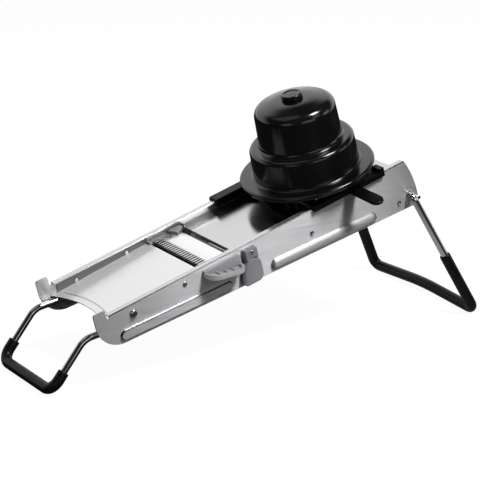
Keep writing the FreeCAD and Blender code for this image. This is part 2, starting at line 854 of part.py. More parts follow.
def thickness_lever():
    """Paddle that hangs from the shaft outside the right plate: a round hub, wider towards its foot."""
    inner = -(half_width + lever_gap)
    outer = inner - lever_thick
    front = shaft_x - lever_front_reach
    rear = shaft_x + lever_rear_reach
    low = shaft_z - lever_length
    shoulder = shaft_z - lever_hub
    round_in = lever_foot_round * (1 - diagonal)
    loop = side_view([(shaft_x - lever_hub, shaft_z), (shaft_x, shaft_z + lever_hub),
                      (shaft_x + lever_hub, shaft_z), (rear, shoulder), (rear, low + lever_foot_round),
                      (rear - round_in, low + round_in), (rear - lever_foot_round, low),
                      (front + lever_foot_cut, low), (front, low + lever_foot_cut), (front, shoulder)])
    edges = [arc(*loop[0:3]), line(loop[2], loop[3]), line(loop[3], loop[4]), arc(*loop[4:7])]
    edges += [line(a, b) for a, b in zip(loop[6:], loop[7:] + loop[:1])]
    paddle = prism_y(edges, inner, outer)
    paddle = paddle.makeFillet(lever_edge, edges_at_y(paddle, outer))
    return paddle.cut(pin_y(shaft_x, shaft_z, shaft_radius + press, inner, inner - shaft_in_lever))


def guide_screw_place():
    """Body-frame (x, z) of the screw in the lever guide."""
    return (shaft_x + (guide_rear_reach - guide_front_reach) / 2, guide_top - guide_screw_edge)


def lever_guide():
    """Fixed grey block above the lever's hub, hollowed round it."""
    face = -half_width
    outer = -(half_width + guide_thick)
    block = box(shaft_x - guide_front_reach, shaft_x + guide_rear_reach, face, outer,
                guide_top - guide_below, guide_top)
    room = pin_y(shaft_x, shaft_z, lever_hub + 2 * slide_gap, face, outer)
    hole = pin_y(*guide_screw_place(), screw_shank, face, outer)
    return block.cut([room, hole])


def lever_guide_screw():
    x, z = guide_screw_place()
    return screw((x, -(half_width + guide_thick), z), (0, -1, 0), screw_radius, screw_height, screw_shank,
                 guide_thick)


def shaft_retainer():
    inner = half_width + seat_gap
    ring = pin_y(shaft_x, shaft_z, retainer_radius, inner, inner + retainer_thick)
    return ring.cut(pin_y(shaft_x, shaft_z, shaft_radius, inner, inner + retainer_thick))


# Pusher carriage


def guide_shoe(side, front):
    """C-shaped runner round one rail: top slab, outer skirt, inner leg and a hook under the rail."""
    outer = side * (half_width + shoe_outer)
    skirt_in = side * (half_width + slide_gap)
    leg_out = side * (deck_half + shoe_leg)
    leg_in = side * deck_half
    hook_end = leg_out + side * shoe_hook
    hook_top = -(sheet + slide_gap)
    slab = box(front, shoe_rear, leg_in, outer, slide_gap, shoe_rise)
    pieces = [
        box(front, shoe_rear, skirt_in, outer, -shoe_skirt, slide_gap),
        box(front, shoe_rear, leg_in, leg_out, -shoe_leg_depth, slide_gap),
        box(front, shoe_rear, leg_out, hook_end, hook_top - shoe_hook_thick, hook_top),
        box(shoe_rear - shoe_end_length, shoe_rear, leg_in, outer, shoe_rise, shoe_rise + shoe_end_rise),
    ]
    shoe = slab.fuse(pieces).removeSplitter()
    nose = [e for e in shoe.Edges if abs(e.BoundBox.XMax - front) < 1e-6
            and abs(e.BoundBox.XMin - front) < 1e-6 and abs(e.BoundBox.ZMin - shoe_rise) < 1e-6]
    return shoe.makeFillet(shoe_nose_round, nose)


def carriage_base():
    """Deck between the shoes with a collar that the dome turns in."""
    deck = box(deck_front, shoe_rear, -deck_half, deck_half, slide_gap, shoe_rise)
    collar = pin_z(dome_x, 0, deck_half, slide_gap, brim_low - seat_gap)
    bore = pin_z(dome_x, 0, spigot_radius + running, slide_gap - cut_past, brim_low + cut_past)
    return deck.fuse(collar).cut(bore).removeSplitter()


def side_wing():
    """Round-ended tongue on the right shoe that reaches outwards, back and a little down."""
    root = -(half_width + shoe_outer)
    tip = root - wing_reach
    wing_x = dome_x + wing_behind
    centre = wing_x + wing_lag
    loop = [(wing_x - wing_root / 2, root, 0), (centre - wing_tip / 2, tip + wing_tip / 2, 0),
            (centre, tip, 0), (centre + wing_tip / 2, tip + wing_tip / 2, 0),
            (wing_x + wing_root / 2, root, 0)]
    edges = [line(loop[0], loop[1]), arc(loop[1], loop[2], loop[3]), line(loop[3], loop[4]),
             line(loop[4], loop[0])]
    tongue = Part.Face(Part.Wire(edges)).extrude(Vec(0, 0, wing_thick))
    tongue.rotate(Vec(0, root, 0), Vec(1, 0, 0), wing_slope)
    tongue.translate(Vec(0, 0, slide_gap - wing_drop))
    keep_out = box(wing_x - wing_reach, wing_x + wing_reach, root, 0, -wing_reach, wing_reach)
    return tongue.cut(keep_out)


# Pusher dome and plunger


def rounded(r, z, radius, sign_r, sign_z):
    """Middle point of a quarter round about the centre (r, z)."""
    return (r + sign_r * radius * diagonal, z + sign_z * radius * diagonal)


def pusher_dome():
    """Hollow skirt of the dome: a spigot that sits in the collar, a wide brim, and the middle tier."""
    lip = (brim_top - brim_low) / 2
    floor_top = brim_low + dome_wall
    roof_low = middle_top - dome_wall
    p = side_view([
        (spigot_inner, spigot_low), (spigot_radius, spigot_low), (spigot_radius, brim_low),
        (brim_radius - lip, brim_low), (brim_radius, brim_low + lip), (brim_radius - lip, brim_top),
        (middle_base + tier_fillet, brim_top),
        rounded(middle_base + tier_fillet, brim_top + tier_fillet, tier_fillet, -1, -1),
        (middle_base, brim_top + tier_fillet),
        (middle_radius, middle_top - middle_round),
        rounded(middle_radius - middle_round, middle_top - middle_round, middle_round, 1, 1),
        (middle_radius - middle_round, middle_top),
        (cap_seat, middle_top), (cap_seat, roof_low), (middle_radius - dome_wall, roof_low),
        (middle_base - dome_wall, floor_top), (spigot_inner, floor_top),
    ])
    edges = [line(p[0], p[1]), line(p[1], p[2]), line(p[2], p[3]), arc(*p[3:6]), line(p[5], p[6]),
             arc(*p[6:9]), line(p[8], p[9]), arc(*p[9:12])]
    edges += [line(a, b) for a, b in zip(p[11:], p[12:] + p[:1])]
    return revolved(edges, dome_x)


def dome_cap():
    """Top tier of the dome, with a plug pressed into the skirt's roof; the rod runs through its crown."""
    shoulder = top_shoulder - top_round
    ceiling = top_shoulder - dome_wall
    bore = rod_radius + running
    plug = cap_seat - press
    p = side_view([
        (top_base - dome_wall, middle_top - dome_wall), (plug, middle_top - dome_wall), (plug, middle_top),
        (top_base + tier_fillet, middle_top),
        rounded(top_base + tier_fillet, middle_top + tier_fillet, tier_fillet, -1, -1),
        (top_base, middle_top + tier_fillet),
        (top_radius, shoulder),
        rounded(top_radius - top_round, shoulder, top_round, 1, 1),
        (top_radius - top_round, top_shoulder),
        (bore, top_shoulder + top_crown), (bore, ceiling), (top_radius - top_round, ceiling),
        rounded(top_radius - top_round, shoulder, top_round - dome_wall, 1, 1),
        (top_radius - dome_wall, shoulder),
    ])
    edges = [line(p[0], p[1]), line(p[1], p[2]), line(p[2], p[3]), arc(*p[3:6]), line(p[5], p[6]),
             arc(*p[6:9]), line(p[8], p[9]), line(p[9], p[10]), line(p[10], p[11]), arc(*p[11:14]),
             line(p[13], p[0])]
    return revolved(edges, dome_x)


def retaining_ring():
    """Flat ring under the deck, on the spigot's end, that keeps the dome in the collar."""
    ring = pin_z(dome_x, 0, spigot_radius + ring_reach, ring_low, spigot_low)
    return ring.cut(pin_z(dome_x, 0, spigot_inner, ring_low, spigot_low))


def plunger_button():
    low = top_shoulder + top_crown + seat_gap
    cap = pin_z(dome_x, 0, button_radius, low, low + button_height)
    rim = [e for e in cap.Edges if abs(e.BoundBox.ZMin - (low + button_height)) < 1e-6]
    cap = cap.makeFillet(button_round, rim)
    return cap.cut(pin_z(dome_x, 0, rod_radius + press, low, rod_top))


def prong_places():
    """Rings of evenly spaced prongs, from the plate's edge inwards."""
    places = []
    for ring, count in enumerate(prong_counts):
        radius = prong_plate_radius - prong_edge - ring * prong_ring_pitch
        for i in range(count):
            turn = 2 * math.pi * i / count
            places.append((dome_x + radius * math.cos(turn), radius * math.sin(turn)))
    return places


def prong_plate():
    plate = pin_z(dome_x, 0, prong_plate_radius, prong_plate_low, prong_plate_top)
    holes = [pin_z(x, y, prong_radius, prong_plate_low, prong_plate_top) for x, y in prong_places()]
    return plate.cut(holes)


def food_prongs():
    """Pointed pins set through the prong plate."""
    pins = []
    low = prong_plate_low - prong_length
    for x, y in prong_places():
        shank = pin_z(x, y, prong_radius, low + prong_taper, prong_plate_top)
        tip = Part.makeCone(prong_point, prong_radius, prong_taper, Vec(x, y, low))
        pins.append(shank.fuse(tip).removeSplitter())
    return Part.makeCompound(pins)


def tangent_arc(start, heading, end):
    """Arc from start, leaving along heading, to end."""
    chord = end - start
    along = Vec(chord).normalize()
    half = heading.getAngle(chord)
    off = (heading - along * heading.dot(along)).normalize()
    middle = start + chord * 0.5 + off * (chord.Length / 2 * math.tan(half / 2))
    return Part.Arc(start, middle, end).toShape()


def plunger_spring():
    """Helical coil round the rod: each quarter turn is a pair of arcs tangent to the helix at its ends."""
    low = prong_plate_top + spring_wire
    high = top_shoulder - dome_wall - spring_wire - seat_gap
    pitch = (high - low) / spring_turns
    edges = []

    def helix(quarter):
        turn = quarter * math.pi / 2
        place = Vec(dome_x + spring_radius * math.cos(turn), spring_radius * math.sin(turn),
                    low + quarter * pitch / 4)
        heading = Vec(-math.sin(turn), math.cos(turn), pitch / (2 * math.pi * spring_radius)).normalize()
        return place, heading

    for quarter in range(4 * spring_turns):
        a, ta = helix(quarter)
        b, tb = helix(quarter + 1)
        chord = b - a
        both = ta + tb
        spread = 2 * (1 - ta.dot(tb))
        reach = (math.sqrt(chord.dot(both) ** 2 + spread * chord.dot(chord)) - chord.dot(both)) / spread
        joint = (a + b + (ta - tb) * reach) * 0.5
        edges.append(tangent_arc(a, ta, joint))
        edges.append(tangent_arc(joint, (joint - (a + ta * reach)).normalize(), b))
    return swept(Part.Wire(edges), spring_wire)


def ring_screw_set():
    """Screws that hold the retaining ring on the spigot."""
    radius = spigot_radius - dome_wall / 2
    screws = []
    for i in range(ring_screw_count):
        turn = 2 * math.pi * (i + 0.5) / ring_screw_count
        place = (dome_x + radius * math.cos(turn), radius * math.sin(turn), ring_low)
        screws.append(screw(place, (0, 0, -1), ring_screw_radius, ring_screw_height, ring_screw_shank,
                            ring_screw_depth))
    return screws


def shoe_screw_set():
    """Screws beside the deck, down into the shoes' inner legs."""
    y = deck_half + shoe_leg / 2
    places = [(x, side * y, shoe_rise) for side in (-1, 1)
              for x in (deck_front + base_screw_inset, shoe_rear - base_screw_inset)]
    return [screw(place, (0, 0, 1), shoe_screw_radius, screw_height, shoe_screw_shank, shoe_rise)
            for place in places]


def cut_for(shape, screws):
    """Cut the room that screws take out of the piece they hold."""
    for one in screws:
        shape = shape.cut(one)
    return shape


# The stance: both legs' feet at one height


def stance():
    """Tilt of the body in radians, from the two foot bars and their sleeves."""
    run = rear_foot_x - front_foot_x
    drop = front_foot_z - rear_foot_z
    level = math.atan2(drop, run)
    return level + math.asin((rear_sleeve_radius - front_sleeve_radius) / math.hypot(run, drop))


def settled(first, front_sleeve, rear_sleeve):
    """The tilt that brings both sleeves' lowest points to one height, from a first tilt close to it."""
    lows = []
    for sleeve in (front_sleeve, rear_sleeve):
        turned = sleeve.copy()
        turned.rotate(Vec(0, 0, 0), Vec(0, 1, 0), -math.degrees(first))
        lows.append(turned.optimalBoundingBox().ZMin)
    return first - math.atan2(lows[1] - lows[0], rear_foot_x - front_foot_x)


# Nodes, body by body

nodes["left_side_plate"] = side_plate(1)
nodes["right_side_plate"] = side_plate(-1).cut(cassette_window())
nodes["exit_plate"] = exit_plate()
nodes["exit_plate_rivets"] = exit_rivets()
nodes["front_leg_clips"] = front_leg_clips()
nodes["front_blade_bar"] = front_blade_bar()
nodes["rear_blade_bar"] = rear_blade_bar()
nodes["blade_end_clip"] = blade_end_clip()
nodes["infeed_hinge_rod"] = pin_y(infeed_hinge_x, infeed_hinge_z, hinge_rod_radius, -inner_half, inner_half)
nodes["lever_guide"] = lever_guide()
nodes["lever_guide_screw"] = lever_guide_screw()
nodes["rear_leg_stops"] = rear_leg_stops()

nodes["front_leg_wire"], nodes["front_leg_sleeve"] = front_leg()
nodes["rear_leg_wire"], nodes["rear_leg_sleeve"] = rear_leg(stance())
nodes["rear_leg_caps"] = rear_leg_caps()

nodes["infeed_plate"] = infeed_plate()
nodes["infeed_hinge_lugs"] = infeed_hinge_lugs()
nodes["cam_shaft"] = cam_shaft()
nodes["thickness_cams"] = thickness_cams()
nodes["thickness_lever"] = thickness_lever()
nodes["shaft_retainer"] = shaft_retainer()

nodes["slicing_blade"] = slicing_blade()
nodes["blade_carrier"] = blade_carrier()
nodes["blade_rivets"] = blade_rivets()
nodes["carrier_handle"] = carrier_handle()

shoe_screws = shoe_screw_set()
nodes["carriage_base"] = carriage_base()
nodes["right_guide_shoe"] = cut_for(guide_shoe(-1, deck_front), shoe_screws)
nodes["left_guide_shoe"] = cut_for(guide_shoe(1, dome_x - shoe_ahead_left), shoe_screws)
nodes["shoe_screws"] = Part.makeCompound(shoe_screws)
nodes["side_wing"] = side_wing()

ring_fixings = ring_screw_set()
nodes["pusher_dome"] = pusher_dome()
nodes["dome_cap"] = dome_cap()
nodes["retaining_ring"] = cut_for(retaining_ring(), ring_fixings)
nodes["ring_screws"] = Part.makeCompound(ring_fixings)
nodes["plunger_rod"] = pin_z(dome_x, 0, rod_radius, prong_plate_top, rod_top)
nodes["plunger_button"] = plunger_button()
nodes["prong_plate"] = prong_plate()
nodes["food_prongs"] = food_prongs()
nodes["plunger_spring"] = plunger_spring()

# Stand the body up, cut the sleeves flat where they meet the floor, and centre it on the floor

tilt = settled(stance(), nodes["front_leg_sleeve"], nodes["rear_leg_sleeve"])


def stood(shape):
    shape = shape.copy()
    shape.rotate(Vec(0, 0, 0), Vec(0, 1, 0), -math.degrees(tilt))
    return shape


standing = {name: stood(shape) for name, shape in nodes.items()}
whole = Part.makeCompound(list(standing.values())).optimalBoundingBox()
floor = standing["front_leg_sleeve"].optimalBoundingBox().ZMin + foot_flat
shift = Vec(-(whole.XMin + whole.XMax) / 2, -(whole.YMin + whole.YMax) / 2, -floor)
below_floor = box(whole.XMin, whole.XMax, whole.YMin, whole.YMax, floor - 2 * rear_sleeve_radius, floor)
for name in ("front_leg_sleeve", "rear_leg_sleeve"):
    standing[name] = standing[name].cut(below_floor)

os.makedirs("parts", exist_ok=True)
for name, shape in standing.items():
    shape.translate(shift)
    shape.exportStep(os.path.join("parts", name + ".step"))
    sound = all(solid.isValid() for solid in shape.Solids)
    print(name, len(shape.Solids), "solids", round(shape.Volume), "mm3", "valid" if sound else "NOT VALID")
print("tilt", round(math.degrees(tilt), 3), "shift", [round(c, 3) for c in shift])
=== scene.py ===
import json
import math

import bmesh
import bpy
import numpy as np
from mathutils import Matrix, Vector


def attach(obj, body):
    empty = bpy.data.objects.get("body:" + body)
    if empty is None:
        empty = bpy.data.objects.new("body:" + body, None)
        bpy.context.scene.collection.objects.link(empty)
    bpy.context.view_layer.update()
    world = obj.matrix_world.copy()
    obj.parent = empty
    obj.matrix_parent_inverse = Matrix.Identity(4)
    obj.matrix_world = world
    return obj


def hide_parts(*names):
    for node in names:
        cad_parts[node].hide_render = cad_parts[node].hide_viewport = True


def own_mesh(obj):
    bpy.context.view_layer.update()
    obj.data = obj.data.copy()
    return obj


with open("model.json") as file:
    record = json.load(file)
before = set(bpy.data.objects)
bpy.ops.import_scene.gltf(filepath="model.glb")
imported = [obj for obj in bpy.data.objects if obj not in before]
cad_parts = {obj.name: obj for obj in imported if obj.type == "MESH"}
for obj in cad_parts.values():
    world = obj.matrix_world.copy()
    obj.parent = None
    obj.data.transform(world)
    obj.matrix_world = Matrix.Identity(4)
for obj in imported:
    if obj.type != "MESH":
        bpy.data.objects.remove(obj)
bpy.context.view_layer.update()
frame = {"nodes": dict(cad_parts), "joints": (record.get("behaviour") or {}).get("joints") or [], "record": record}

# A steel mandoline slicer on wire legs with a black domed pusher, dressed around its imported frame.
# Shapes are worked out in the slicer's own body frame, in millimetres: x along the rails from the
# low front end, y across to the left side, z square to the rails with 0 on their top.

nodes = frame["nodes"]
joints = {joint["name"]: joint for joint in frame["joints"]}
slot_of = {entry["node"]: entry["material_slot"] for entry in frame["record"]["subparts"]}
bodies = frame["record"]["behaviour"]["bodies"]
body_of = {node: body for body, members in bodies.items() for node in members}

# The body frame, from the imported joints
DOME_X = 314.8
rail_axis = np.array(joints["carriage_slide"]["axis"])
up_axis = np.array(joints["dome_turn"]["axis"])
side_axis = np.array((0.0, 1.0, 0.0))
body_origin = np.array(joints["dome_turn"]["pos_m"]) - rail_axis * DOME_X / 1000
rail_tilt = math.atan2(rail_axis[2], rail_axis[0])


def in_row(points):
    """Body-frame millimetres to row-frame metres: origin + x * rail + y * side + z * up."""
    points = np.asarray(points, float) / 1000
    axes = np.stack((rail_axis, side_axis, up_axis))
    return body_origin + points @ axes


# Finishes


NOISE_LOW, NOISE_HIGH = 0.3, 0.7
EDGE_TURNED, EDGE_FLAT = 0.86, 0.985
EVEN = (1.0, 1.0, 1.0)
RAIL_TURN = (0.0, rail_tilt, 0.0)


class Finish:
    """A node material with a few short helpers."""

    SOCKETS = {"color": "Base Color", "metal": "Metallic", "rough": "Roughness",
               "spec": "Specular IOR Level", "drawn": "Anisotropic"}

    def __init__(self, name):
        self.material = bpy.data.materials.new(name)
        self.material.use_nodes = True
        self.tree = self.material.node_tree
        self.shader = self.tree.nodes["Principled BSDF"]
        self.coords = self.tree.nodes.new("ShaderNodeTexCoord")

    def node(self, kind, **settings):
        made = self.tree.nodes.new("ShaderNode" + kind)
        for key, value in settings.items():
            setattr(made, key, value)
        return made

    def link(self, source, target):
        self.tree.links.new(source, target)

    def set(self, **values):
        for key, value in values.items():
            self.shader.inputs[self.SOCKETS[key]].default_value = value
        return self

    def mapped(self, scale, turn=(0.0, 0.0, 0.0)):
        """Object coordinates stretched by scale; turn lines them up with the rails."""
        mapping = self.node("Mapping", vector_type="POINT")
        mapping.inputs["Rotation"].default_value = turn
        mapping.inputs["Scale"].default_value = scale
        self.link(self.coords.outputs["Object"], mapping.inputs["Vector"])
        return mapping.outputs["Vector"]

    def noise(self, vector, scale, detail=4.0, rough=0.6):
        made = self.node("TexNoise")
        made.inputs["Scale"].default_value = scale
        made.inputs["Detail"].default_value = detail
        made.inputs["Roughness"].default_value = rough
        self.link(vector, made.inputs["Vector"])
        return made.outputs["Fac"]

    def spread(self, value, low, high, from_low=NOISE_LOW, from_high=NOISE_HIGH, smooth=False):
        """Remap a value between from_low and from_high to low to high."""
        made = self.node("MapRange", interpolation_type="SMOOTHSTEP" if smooth else "LINEAR")
        made.inputs["From Min"].default_value = from_low
        made.inputs["From Max"].default_value = from_high
        made.inputs["To Min"].default_value = low
        made.inputs["To Max"].default_value = high
        self.link(value, made.inputs["Value"])
        return made.outputs["Result"]

    def math(self, operation, first, second):
        """Two values joined by one sum; either may be a plain number."""
        made = self.node("Math", operation=operation)
        for value, socket in zip((first, second), made.inputs):
            if isinstance(value, (int, float)):
                socket.default_value = value
            else:
                self.link(value, socket)
        return made.outputs[0]

    def shades(self, value, dark, light):
        """Colour between dark and light by a 0 to 1 value."""
        ramp = self.node("ValToRGB")
        for stop, position, color in zip(ramp.color_ramp.elements, (NOISE_LOW, NOISE_HIGH), (dark, light)):
            stop.position = position
            stop.color = (*color, 1)
        self.link(value, ramp.inputs["Fac"])
        return ramp.outputs["Color"]

    def tint_by_wear_or_shade(self, color, wear_or_shade, mask):
        """Colour that turns to a second colour where the mask is 1: paler wear on edges, and painted shade in
        sheet bends and on sideways faces.
        """
        mix = self.node("Mix", data_type="RGBA")
        mix.inputs["B"].default_value = (*wear_or_shade, 1)
        self.link(mask, mix.inputs["Factor"])
        self.link(color, mix.inputs["A"])
        return mix.outputs["Result"]

    def soft_edges(self, radius):
        """Normals rounded over the edges, and a mask that is 1 on the edges alone."""
        bevel = self.node("Bevel", samples=6)
        bevel.inputs["Radius"].default_value = radius
        flat = self.node("NewGeometry")
        dot = self.node("VectorMath", operation="DOT_PRODUCT")
        self.link(bevel.outputs["Normal"], dot.inputs[0])
        self.link(flat.outputs["Normal"], dot.inputs[1])
        return bevel.outputs["Normal"], self.spread(dot.outputs["Value"], 1.0, 0.0, EDGE_TURNED, EDGE_FLAT)

    def lean(self, axis):
        """How far a face looks along an axis, from -1 to 1."""
        face = self.node("NewGeometry")
        dot = self.node("VectorMath", operation="DOT_PRODUCT")
        dot.inputs[1].default_value = axis
        self.link(face.outputs["Normal"], dot.inputs[0])
        return dot.outputs["Value"]

    def grain_along(self, axis):
        """Turn the shader's stretched shine so that its long way lies across an axis."""
        face = self.node("NewGeometry")
        across = self.node("VectorMath", operation="CROSS_PRODUCT")
        across.inputs[1].default_value = axis
        self.link(face.outputs["Normal"], across.inputs[0])
        self.link(across.outputs["Vector"], self.shader.inputs["Tangent"])

    def bump(self, value, strength, depth, normal=None):
        made = self.node("Bump")
        made.inputs["Strength"].default_value = strength
        made.inputs["Distance"].default_value = depth
        self.link(value, made.inputs["Height"])
        if normal:
            self.link(normal, made.inputs["Normal"])
        self.link(made.outputs["Normal"], self.shader.inputs["Normal"])

    def finish(self, color, rough):
        self.link(color, self.shader.inputs["Base Color"])
        self.link(rough, self.shader.inputs["Roughness"])
        return self.material


GRAIN_LINES = (28.0, 2600.0, 2600.0)
GRAIN_STREAKS = (7.0, 420.0, 420.0)
GRAIN_CLOUD = (9.0, 14.0, 14.0)
GRAIN_GLOSS = 0.05
SHEET_EDGE = 0.0004
EDGE_BRIGHTER = 1.15
# Near-black painted shade for the bends of folded sheet
BEND_SHADE = (0.05, 0.05, 0.055)
BEND_STARTS = (0.12, 0.3)
BEND_ENDS = (0.85, 0.97)
SIDEWAYS = (0.3, 0.7)
UPWARD = (0.5, 0.95)
UPWARD_SMOOTHER = 0.19


def brushed_steel(name, dark, light, rough, drawn, metal=1.0, folded=False, painted_flange_shade=None):
    """Steel with a fine grain along the rails that spreads its shine across them, and edges brighter from rubbing;
    folded sheet has a near-black painted shade in its bends and is smoother on the faces that look up, and a
    painted dark shade goes on the faces that look sideways, such as flanges."""
    steel = Finish(name).set(metal=metal, drawn=drawn)
    steel.grain_along(rail_axis)
    lines = steel.noise(steel.mapped(GRAIN_LINES, RAIL_TURN), 1.0, detail=3.0)
    streaks = steel.noise(steel.mapped(GRAIN_STREAKS, RAIL_TURN), 1.0, detail=2.0)
    cloud = steel.noise(steel.mapped(GRAIN_CLOUD, RAIL_TURN), 1.0, detail=2.0)
    grainy = steel.math("ADD", steel.math("MULTIPLY", lines, 0.4), steel.math("MULTIPLY", streaks, 0.3))
    grainy = steel.math("ADD", grainy, steel.math("MULTIPLY", cloud, 0.3))
    normal, wear_or_shade = steel.soft_edges(SHEET_EDGE)
    bright = tuple(min(1.0, channel * EDGE_BRIGHTER) for channel in light)
    color = steel.tint_by_wear_or_shade(steel.shades(grainy, dark, light), bright, wear_or_shade)
    gloss = steel.spread(grainy, rough - GRAIN_GLOSS, rough + GRAIN_GLOSS)
    steel.bump(lines, 0.25, 0.000006, normal)
    # Painted shade: faces that look sideways, such as flanges, take a dark copy of the steel colour
    if painted_flange_shade:
        color = steel.tint_by_wear_or_shade(color, painted_flange_shade, steel.spread(steel.lean(up_axis), 1.0, 0.0, *SIDEWAYS))
    # Painted shade: the bends between the sides and tops of folded sheet take the near-black colour
    if folded:
        lean = steel.lean(up_axis)
        past_side = steel.spread(lean, 0.0, 1.0, *BEND_STARTS)
        before_top = steel.spread(lean, 1.0, 0.0, *BEND_ENDS)
        color = steel.tint_by_wear_or_shade(color, BEND_SHADE, steel.math("MULTIPLY", past_side, before_top))
        gloss = steel.math("SUBTRACT", gloss, steel.spread(lean, 0.0, UPWARD_SMOOTHER, *UPWARD))
    return steel.finish(color, gloss)


def bright_steel(name, color, rough):
    """Polished or plated steel with faint polishing marks and slow changes of gloss."""
    steel = Finish(name).set(metal=1.0)
    marks = steel.noise(steel.mapped((60.0, 60.0, 60.0)), 6.0, detail=5.0)
    haze = steel.noise(steel.mapped(EVEN), 25.0, detail=3.0)
    shade = tuple(channel * 0.93 for channel in color)
    steel.bump(marks, 0.06, 0.000004)
    return steel.finish(steel.shades(marks, shade, color), steel.spread(haze, rough * 0.7, rough * 1.4))


FLUTE_MARKS = (90.0, 2400.0, 2400.0)


def painted_flute_shade():
    """Near-black painted shade for the blade's flutes and its front edge, with marks along its length."""
    steel = Finish("flute_painted_shade").set(metal=0.0, spec=0.06)
    marks = steel.noise(steel.mapped(FLUTE_MARKS, RAIL_TURN), 1.0, detail=3.0)
    steel.bump(marks, 0.3, 0.00001)
    color = steel.shades(marks, (0.004, 0.004, 0.0045), (0.014, 0.014, 0.015))
    return steel.finish(color, steel.spread(marks, 0.55, 0.7))


HAIRLINE_RUBS = (60.0, 700.0, 240.0)
GLOSS_EDGE = 0.0004
GRAINED_EDGE = 0.0007


def gloss_plastic(name, dark, light, rough, wear_or_shade, spec=0.5):
    """Moulded plastic: slow flow marks, faint hairline rubs, and edges a little paler from rubbing."""
    shell = Finish(name).set(spec=spec)
    flow = shell.noise(shell.mapped(EVEN), 16.0, detail=4.0)
    rubs = shell.noise(shell.mapped(HAIRLINE_RUBS), 1.0, detail=4.0)
    pores = shell.noise(shell.mapped(EVEN), 1400.0, detail=2.0)
    normal, edges = shell.soft_edges(GLOSS_EDGE)
    patchy = shell.math("MULTIPLY", edges, shell.spread(flow, 0.2, 1.0))
    color = shell.tint_by_wear_or_shade(shell.shades(flow, dark, light), wear_or_shade, patchy)
    shell.bump(pores, 0.06, 0.00001, normal)
    gloss = shell.spread(flow, rough - 0.03, rough + 0.03)
    return shell.finish(color, shell.math("ADD", gloss, shell.spread(rubs, -0.02, 0.03)))


def grained_plastic(name, dark, light, rough, wear_or_shade):
    """Moulded plastic with a fine spark grain, slow changes of shade, and edges paler from rubbing."""
    shell = Finish(name).set(spec=0.5)
    pores = shell.noise(shell.mapped(EVEN), 1500.0, detail=2.0)
    cloud = shell.noise(shell.mapped(EVEN), 22.0, detail=4.0)
    normal, edges = shell.soft_edges(GRAINED_EDGE)
    patchy = shell.math("MULTIPLY", edges, shell.spread(cloud, 0.45, 1.0))
    color = shell.tint_by_wear_or_shade(shell.shades(cloud, dark, light), wear_or_shade, patchy)
    shell.bump(pores, 0.25, 0.00002, normal)
    return shell.finish(color, shell.spread(cloud, rough - 0.05, rough + 0.06))


def soft_rubber(name):
    """Black sleeve with fine dimples, a thin dusty bloom and scuffs."""
    rubber = Finish(name).set(spec=0.2)
    bloom = rubber.noise(rubber.mapped(EVEN), 45.0, detail=6.0)
    pores = rubber.noise(rubber.mapped(EVEN), 900.0, detail=3.0)
    rubber.bump(pores, 0.3, 0.00004)
    color = rubber.shades(bloom, (0.002, 0.002, 0.0022), (0.005, 0.005, 0.0055))
    return rubber.finish(color, rubber.spread(bloom, 0.32, 0.45))


finishes = {
    "brushed_side": brushed_steel("brushed_side", (0.56, 0.555, 0.57), (0.72, 0.715, 0.73), 0.36, 1.0,
                                  folded=True),
    # Satin plate steel, with a painted dark shade on its faces that look sideways
    "satin_plate": brushed_steel("satin_plate", (0.9, 0.895, 0.9), (0.96, 0.955, 0.96), 0.3, 0.3,
                                 metal=0.4, painted_flange_shade=(0.2, 0.198, 0.2)),
    "polished_steel": bright_steel("polished_steel", (0.78, 0.78, 0.79), 0.12),
    "blade_steel": brushed_steel("blade_steel", (0.88, 0.88, 0.885), (0.95, 0.95, 0.95), 0.24, 0.5),
    "chrome_wire": bright_steel("chrome_wire", (0.72, 0.72, 0.73), 0.07),
    "spring_steel": bright_steel("spring_steel", (0.45, 0.45, 0.47), 0.25),
    "black_rubber": soft_rubber("black_rubber"),
    "black_plastic": gloss_plastic("black_plastic", (0.0025, 0.0025, 0.003), (0.005, 0.005, 0.0055), 0.16,
                                   (0.012, 0.012, 0.013)),
    "grey_plastic": grained_plastic("grey_plastic", (0.19, 0.195, 0.21), (0.25, 0.255, 0.27), 0.36,
                                    (0.4, 0.405, 0.42)),
}
shoe_finish = gloss_plastic("matt_black", (0.002, 0.002, 0.0022), (0.004, 0.004, 0.0044), 0.34,
                            (0.009, 0.009, 0.01), spec=0.16)
# Painted light: the handle and the blade's end clip take a paler copy of the grey plastic, for the light they
# catch
lit_handle_finish = grained_plastic("handle_grey_painted_lighter", (0.33, 0.335, 0.35), (0.41, 0.415, 0.43), 0.36,
                                (0.55, 0.555, 0.57))
# Painted shade: the rib beads take a darker copy of the side plates' steel, which tones down their highlight
shaded_bead_finish = brushed_steel("bead_steel_painted_darker", (0.48, 0.475, 0.485), (0.6, 0.595, 0.605), 0.4, 0.9)
# Painted shade: the front leg's chrome is a darker copy of the wire chrome, which dulls its highlight against the
# pale floor
shaded_front_wire_finish = bright_steel("front_chrome_painted_darker", (0.4, 0.4, 0.41), 0.08)
feed_finish = brushed_steel("feed_plate_steel", (0.56, 0.55, 0.55), (0.66, 0.65, 0.65), 0.18, 0.6)
flute_shade_finish = painted_flute_shade()

for name, shape in nodes.items():
    shape.data.materials.clear()
    shape.data.materials.append(finishes[slot_of[name]])
nodes["infeed_plate"].data.materials[0] = feed_finish
nodes["carrier_handle"].data.materials[0] = lit_handle_finish
nodes["blade_end_clip"].data.materials[0] = lit_handle_finish
for name in ("right_guide_shoe", "left_guide_shoe", "carriage_base"):
    nodes[name].data.materials[0] = shoe_finish


# Lines and surfaces


def unit(vectors):
    return vectors / np.linalg.norm(vectors, axis=-1, keepdims=True)


